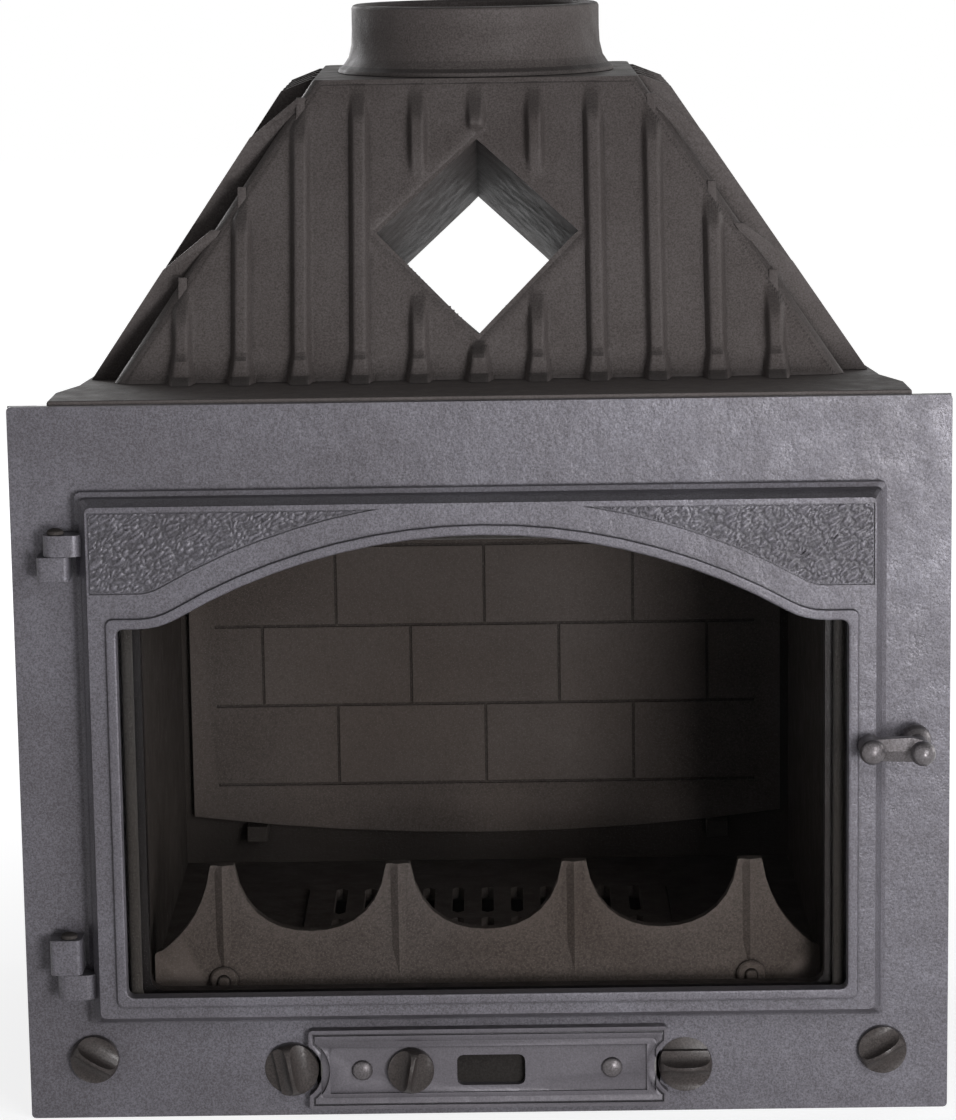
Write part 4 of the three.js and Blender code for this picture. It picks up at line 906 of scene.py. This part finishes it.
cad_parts["door_glass"].data.materials.clear()
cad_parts["door_glass"].data.materials.append(ceramic_glass())


# ---------- rope and tape ----------
# A braided glass-fibre rope seals the door against the plate, and a woven tape lies in front of
# the glass. Both are charcoal grey.

ROPE_TONE = (0.055, 0.052, 0.050)
TAPE_TONE = (0.05, 0.048, 0.046)
ROPE_STRANDS = 900.0
TAPE_STRANDS = 1300.0
STRAND_STOPS = (0.3, 0.7)
FIBRE_ROUGHNESS = 0.92
FIBRE_SHEEN = 0.15
FIBRE_BUMP = 0.6
FIBRE_DEPTH = 0.0004
ROPE_HALF = 0.266
ROPE_LOW = 0.090
ROPE_HIGH = 0.451
ROPE_CORNER = 0.014
ROPE_DEPTH = -0.19355
ROPE_RADIUS = 0.00478
ROPE_STEP = 0.0014
ROPE_SIDES = 16
BRAID_RISE = 0.00042
BRAID_PITCH = 0.0115


def fibre(name, tone, scale):
    thread = bpy.data.materials.new(name)
    thread.use_nodes = True
    nodes, links = thread.node_tree.nodes, thread.node_tree.links
    shader = nodes["Principled BSDF"]
    shader.inputs["Roughness"].default_value = FIBRE_ROUGHNESS
    shader.inputs["Sheen Weight"].default_value = FIBRE_SHEEN
    strands = noise_pattern(nodes, links, scale, 3.0)
    dark, pale = (tuple(share * t for t in tone) + (1.0,) for share in (0.5, 1.5))
    links.new(two_tones(nodes, links, strands, STRAND_STOPS, dark, pale), shader.inputs["Base Color"])
    links.new(bumped(nodes, links, strands, FIBRE_BUMP, FIBRE_DEPTH), shader.inputs["Normal"])
    return thread


def rope_path():
    """Points along the loop, each with the direction that looks out of it."""
    path = []
    right, high = ROPE_HALF - ROPE_CORNER, ROPE_HIGH - ROPE_CORNER
    low = ROPE_LOW + ROPE_CORNER
    corners = [(right, low, -90.0), (right, high, 0.0), (-right, high, 90.0), (-right, low, 180.0)]
    for index, (x, z, start) in enumerate(corners):
        steps = max(4, round(math.pi / 2 * ROPE_CORNER / ROPE_STEP))
        for i in range(steps):
            turn = math.radians(start + 90.0 * i / steps)
            out = (math.cos(turn), math.sin(turn))
            path.append((x + ROPE_CORNER * out[0], z + ROPE_CORNER * out[1], out))
        next_x, next_z, _ = corners[(index + 1) % 4]
        turn = math.radians(start + 90.0)
        out = (math.cos(turn), math.sin(turn))
        steps = round(math.hypot(next_x - x, next_z - z) / ROPE_STEP)
        for i in range(steps):
            share = i / steps
            along_x, along_z = x + (next_x - x) * share, z + (next_z - z) * share
            path.append((along_x + ROPE_CORNER * out[0], along_z + ROPE_CORNER * out[1], out))
    return path


def braided_rope():
    path = rope_path()
    count = len(path)
    turns = round(count * ROPE_STEP / BRAID_PITCH)
    points, faces = [], []
    for i, (x, z, out) in enumerate(path):
        wave = 2 * math.pi * turns * i / count
        for k in range(ROPE_SIDES):
            turn = 2 * math.pi * k / ROPE_SIDES
            lay = math.cos(4 * turn + wave * 2) * math.cos(4 * turn - wave * 2)
            radius = ROPE_RADIUS - BRAID_RISE + BRAID_RISE * lay
            side = radius * math.cos(turn)
            points.append((x + out[0] * side, ROPE_DEPTH + radius * math.sin(turn), z + out[1] * side))
    for i in range(count):
        here, there = i * ROPE_SIDES, (i + 1) % count * ROPE_SIDES
        for k in range(ROPE_SIDES):
            m = (k + 1) % ROPE_SIDES
            faces.append((here + k, here + m, there + m, there + k))
    rope = shaped_by("braided_door_rope", points, faces)
    turn_faces_outwards()
    bpy.ops.object.shade_smooth()
    rope.data.materials.append(fibre("charcoal rope", ROPE_TONE, ROPE_STRANDS))
    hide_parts("door_rope_seal")
    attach(rope, "door")


braided_rope()
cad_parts["glass_gasket"].data.materials.clear()
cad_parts["glass_gasket"].data.materials.append(fibre("woven tape", TAPE_TONE, TAPE_STRANDS))


# ---------- clips, screws and latch ----------
# Four folded clips and their screws hold the glass; the latch tongue sits on the handle's spindle.
# They are plain zinc-grey steel, dulled by heat.

DULL_TONE = (0.42, 0.40, 0.38)
STEEL_GRAIN = 260.0
STEEL_STOPS = (0.3, 0.7)
STEEL_GLOSSIER = 0.08
STEEL_DULLER = 0.12
STEEL_BUMP = 0.15
STEEL_DEPTH = 0.0002
STEEL_EDGE = 0.0004


def turned_steel(name, tone, roughness):
    steel = bpy.data.materials.new(name)
    steel.use_nodes = True
    nodes, links = steel.node_tree.nodes, steel.node_tree.links
    shader = nodes["Principled BSDF"]
    shader.inputs["Metallic"].default_value = 1.0
    grain = noise_pattern(nodes, links, STEEL_GRAIN, 4.0)
    dark, pale = (tuple(share * t for t in tone) + (1.0,) for share in (0.6, 1.0))
    links.new(two_tones(nodes, links, grain, STEEL_STOPS, dark, pale), shader.inputs["Base Color"])
    gloss = faded(nodes, links, grain, 0.0, 1.0, roughness - STEEL_GLOSSIER, roughness + STEEL_DULLER)
    links.new(gloss, shader.inputs["Roughness"])
    links.new(bumped(nodes, links, grain, STEEL_BUMP, STEEL_DEPTH), shader.inputs["Normal"])
    return steel


dull_steel = turned_steel("heat-dulled steel", DULL_TONE, 0.42)
for side in ["left", "right"]:
    for level in ["lower", "upper"]:
        clip, screw = f"glass_clip_{side}_{level}", f"clip_screw_{side}_{level}"
        finished_casting(f"{clip}_spring", clip, "door", dull_steel, STEEL_EDGE)
        finished_casting(f"{screw}_head", screw, "door", dull_steel, SHARP)
finished_casting("latch_tongue", "latch_cam", "handle", dull_steel, STEEL_EDGE)


# ---------- handle ----------
# One casting: a hub with a domed cap, a stout crank, and a turned knob with a bulb behind it.
# Hands have polished its paint, so it shines more than the plate.

GRIP_LIGHT = (0.170, 0.158, 0.165, 1.0)
GRIP_DARK = (0.085, 0.076, 0.076, 1.0)
HANDLE_EDGE = 0.0007
HANDLE_ANGLE = 36.0

grip_paint = painted_iron("handled paint", GRIP_LIGHT, GRIP_DARK, roughness=0.36, metal=0.55, grain=0.12)
finished_casting(
    "handle_casting", "door_handle", "handle", grip_paint, HANDLE_EDGE, HANDLE_ANGLE
)


# ---------- hinges ----------
# Two short steel pins with domed heads drop through the knuckles of the plate and the tabs of the
# door. They are blackened like the firebox.

finished_casting("upper_pin", "hinge_pin_upper", "insert_body", dark_paint, SHARP)
finished_casting("lower_pin", "hinge_pin_lower", "insert_body", dark_paint, SHARP)


# ---------- turned controls ----------
# Four small castings with a fin to grip: two turn buttons beside the drawer and two knobs in the
# plate's lower corners. Each is held behind the plate by a nut.

KNOB_LIGHT = (0.082, 0.070, 0.066, 1.0)
KNOB_DARK = (0.036, 0.030, 0.028, 1.0)
BUTTON_X = 0.150
BUTTON_RADIUS = 0.0206
BUTTON_FLAT = 0.0112
CONTROL_Z = 0.0375
CORNER_X = 0.300
CORNER_Z = 0.0475
CORNER_RADIUS = 0.0184
PLATE_FACE = -0.1885
KNOB_RISE = 0.0168
KNOB_RIM = 0.0038
KNOB_SIDES = 72
KNOB_STEPS = 12
KNOB_EDGE = 0.0005
KNOB_ANGLE = 38.0
KNOB_ROOM = 0.05
BAR_SIDES = 96
BOSS_RADIUS = 0.0049
BOSS_DEPTH = 0.0016
SPINDLE_END = 0.0011
SCOOP_RADIUS = 0.0118
SCOOP_ASIDE = 0.0130
SCOOP_LENGTH = 0.09
FLAT_BACK = 0.0001


def block_between(low, high):
    bpy.ops.object.select_all(action="DESELECT")
    centre = tuple((low[i] + high[i]) / 2 for i in range(3))
    bpy.ops.mesh.primitive_cube_add(size=1.0, location=centre)
    block = bpy.context.view_layer.objects.active
    block.scale = tuple(high[i] - low[i] for i in range(3))
    bpy.ops.object.transform_apply(location=True, rotation=True, scale=True)
    return block


def round_bar(radius, length, centre, turn):
    bpy.ops.object.select_all(action="DESELECT")
    bpy.ops.mesh.primitive_cylinder_add(
        vertices=BAR_SIDES, radius=radius, depth=length, location=centre, rotation=turn
    )
    bar = bpy.context.view_layer.objects.active
    bpy.ops.object.transform_apply(location=True, rotation=True, scale=True)
    return bar


def domed_disc(radius):
    """A disc with a rim and a round dome, and a short boss behind it that meets the spindle."""
    profile = [(BOSS_RADIUS, BOSS_DEPTH), (BOSS_RADIUS, 0.0), (radius, 0.0), (radius, -KNOB_RIM)]
    for step in range(1, KNOB_STEPS):
        turn = math.pi / 2 * step / KNOB_STEPS
        profile.append((radius * math.cos(turn), -KNOB_RIM - (KNOB_RISE - KNOB_RIM) * math.sin(turn)))
    points = [(0.0, BOSS_DEPTH, 0.0)]
    for reach, y in profile:
        for k in range(KNOB_SIDES):
            turn = 2 * math.pi * k / KNOB_SIDES
            points.append((reach * math.cos(turn), y, reach * math.sin(turn)))
    points.append((0.0, -KNOB_RISE, 0.0))
    faces = []
    for k in range(KNOB_SIDES):
        m = (k + 1) % KNOB_SIDES
        faces.append((0, 1 + k, 1 + m))
        for ring in range(len(profile) - 1):
            a, b = 1 + ring * KNOB_SIDES, 1 + (ring + 1) * KNOB_SIDES
            faces.append((a + k, b + k, b + m, a + m))
        last = 1 + (len(profile) - 1) * KNOB_SIDES
        faces.append((last + k, len(points) - 1, last + m))
    disc = shaped_by("domed disc", points, faces)
    turn_faces_outwards()
    return disc


def scooped_dome(radius, tilt, flat):
    """A domed disc with a round scoop on each side, which leaves a narrow fin across the middle."""
    dome = domed_disc(radius)
    for side in (-1, 1):
        centre = (0.0, -KNOB_RISE, side * SCOOP_ASIDE)
        scoop = round_bar(SCOOP_RADIUS, SCOOP_LENGTH, centre, (0.0, math.pi / 2, 0.0))
        cut_or_join(dome, scoop, "DIFFERENCE")
    if flat:
        above = block_between((-KNOB_ROOM, -KNOB_ROOM, flat), (KNOB_ROOM, -FLAT_BACK, KNOB_ROOM))
        cut_or_join(dome, above, "DIFFERENCE")
    dome.data.transform(Matrix.Rotation(math.radians(tilt), 4, "Y"))
    return dome


def turned_knob(piece, node, body, x, z, face, radius, tilt, flat=0.0):
    """The scooped dome in front of the node's own spindle."""
    made = finished_casting(piece, node, body, knob_paint, SHARP)
    low = (x - KNOB_ROOM, face - KNOB_ROOM, z - KNOB_ROOM)
    high = (x + KNOB_ROOM, face + SPINDLE_END, z + KNOB_ROOM)
    cut_or_join(made, block_between(low, high), "DIFFERENCE")
    dome = scooped_dome(radius, tilt, flat)
    dome.data.transform(Matrix.Translation((x, face, z)))
    cut_or_join(made, dome, "UNION")
    rounded_edges(made, KNOB_EDGE, KNOB_ANGLE)


knob_paint = painted_iron(
    "black knob paint", KNOB_LIGHT, KNOB_DARK, roughness=0.36, metal=0.05, grain=0.2, wear=0.0
)
turned_controls = [
    ("turn_button_left", "left_button", -BUTTON_X, CONTROL_Z, BUTTON_RADIUS, -101.0, BUTTON_FLAT),
    ("turn_button_right", "right_button", BUTTON_X, CONTROL_Z, BUTTON_RADIUS, 0.0, BUTTON_FLAT),
    ("corner_knob_left", "left_corner_knob", -CORNER_X, CORNER_Z, CORNER_RADIUS, 31.0, 0.0),
    ("corner_knob_right", "right_corner_knob", CORNER_X, CORNER_Z, CORNER_RADIUS, -30.0, 0.0),
]
for name, body, x, z, radius, tilt, flat in turned_controls:
    turned_knob(f"{name}_casting", name, body, x, z, PLATE_FACE, radius, tilt, flat)
for name, body, *_ in turned_controls:
    finished_casting(f"{name}_hex", f"{name}_nut", body, dull_steel, STEEL_EDGE)


# ---------- ash drawer ----------
# A cast front on a folded sheet pan, with two domed rivets, the air knob and the air slot. The
# knob's crank slides a sheet shutter behind the slot.

# The drawer front's colour is the plate paint made darker as painted shade on the low front.
DRAWER_SHADED_PALE = (0.135, 0.126, 0.140, 1.0)
DRAWER_SHADED_DEEP = (0.060, 0.054, 0.058, 1.0)
# The shutter's near-black colour is painted shade, so the air slot reads dark.
SHUTTER_SHADE_PALE = (0.030, 0.027, 0.025, 1.0)
SHUTTER_SHADE_DEEP = (0.014, 0.012, 0.011, 1.0)
SHEET_TONE = (0.30, 0.29, 0.28)
PANEL_HALF = 0.1365
PANEL_LOW = 0.007
PANEL_HIGH = 0.0695
PANEL_FACE = -0.1975
PANEL_EDGE = 0.0005
PANEL_ANGLE = 34.0
PAN_EDGE = 0.0004
SHUTTER_EDGE = 0.0003
NOTCH_X = 0.150
NOTCH_RADIUS = 0.0238
NOTCH_LONGER = 0.002
BEAD_WIDTH = 0.0030
GROOVE_WIDTH = 0.0016
GROOVE_DEPTH = 0.0018
GROOVE_REACH = 0.004
BORDER_GAP = 0.001
BORDER_DEPTH = 0.0032
CUT_AHEAD = 0.002
FIELD_HALF = 0.1205
FIELD_LOW = 0.0195
FIELD_HIGH = 0.0560
FIELD_DEPTH = 0.005
AIR_KNOB_X = -0.059
AIR_KNOB_FACE = -0.1955
AIR_KNOB_RADIUS = 0.0176
AIR_KNOB_TILT = -80.0


def panel_shape(inset, front, back):
    """The drawer front's outline drawn in by an inset, with its two round notches."""
    low = (-PANEL_HALF + inset, front, PANEL_LOW + inset)
    high = (PANEL_HALF - inset, back, PANEL_HIGH - inset)
    shape = block_between(low, high)
    length = back - front + 2 * NOTCH_LONGER
    for side in (-1, 1):
        centre = (side * NOTCH_X, (front + back) / 2, CONTROL_Z)
        notch = round_bar(NOTCH_RADIUS + inset, length, centre, (math.pi / 2, 0.0, 0.0))
        cut_or_join(shape, notch, "DIFFERENCE")
    return shape


def raised_border():
    """The border that stands up round the drawer front's sunk field."""
    border = panel_shape(BEAD_WIDTH + GROOVE_WIDTH + BORDER_GAP, PANEL_FACE, PANEL_FACE + BORDER_DEPTH)
    low = (-FIELD_HALF, PANEL_FACE - CUT_AHEAD, FIELD_LOW)
    high = (FIELD_HALF, PANEL_FACE + FIELD_DEPTH, FIELD_HIGH)
    cut_or_join(border, block_between(low, high), "DIFFERENCE")
    return border


def bead_groove():
    """The narrow ring that is cut away between the outer bead and the border."""
    groove = panel_shape(BEAD_WIDTH, PANEL_FACE - CUT_AHEAD, PANEL_FACE + GROOVE_DEPTH)
    core = panel_shape(BEAD_WIDTH + GROOVE_WIDTH, PANEL_FACE - GROOVE_REACH, PANEL_FACE + GROOVE_REACH)
    cut_or_join(groove, core, "DIFFERENCE")
    return groove


# Painted shade: the drawer front is painted darker than the plate, as if the low front got less light.
drawer_shade_paint = painted_iron("drawer colour with painted shade", DRAWER_SHADED_PALE, DRAWER_SHADED_DEEP)
drawer = finished_casting(
    "drawer_casting", "ash_drawer_front", "ash_drawer", drawer_shade_paint, SHARP
)
cut_or_join(drawer, raised_border(), "UNION")
cut_or_join(drawer, bead_groove(), "DIFFERENCE")
rounded_edges(drawer, PANEL_EDGE, PANEL_ANGLE)
for side in ["left", "right"]:
    finished_casting(f"rivet_{side}", f"drawer_rivet_{side}", "ash_drawer", grip_paint, SHARP)
air_knob_place = (AIR_KNOB_X, CONTROL_Z, AIR_KNOB_FACE)
turned_knob("air_knob_casting", "air_knob", "air_control", *air_knob_place, AIR_KNOB_RADIUS, AIR_KNOB_TILT)
sheet_metal = turned_steel("mill-finish sheet", SHEET_TONE, 0.50)
finished_casting("pan_sheet", "ash_drawer_pan", "ash_drawer", sheet_metal, PAN_EDGE)
# Painted shade: the sheet behind the slot is painted near black, as the slot's shade.
shutter_shade_paint = painted_iron(
    "sheet colour with painted shade", SHUTTER_SHADE_PALE, SHUTTER_SHADE_DEEP, roughness=0.60, metal=0.0, grain=0.3, sheen=0.08
)
finished_casting("shutter_sheet", "air_shutter", "shutter", shutter_shade_paint, SHUTTER_EDGE)
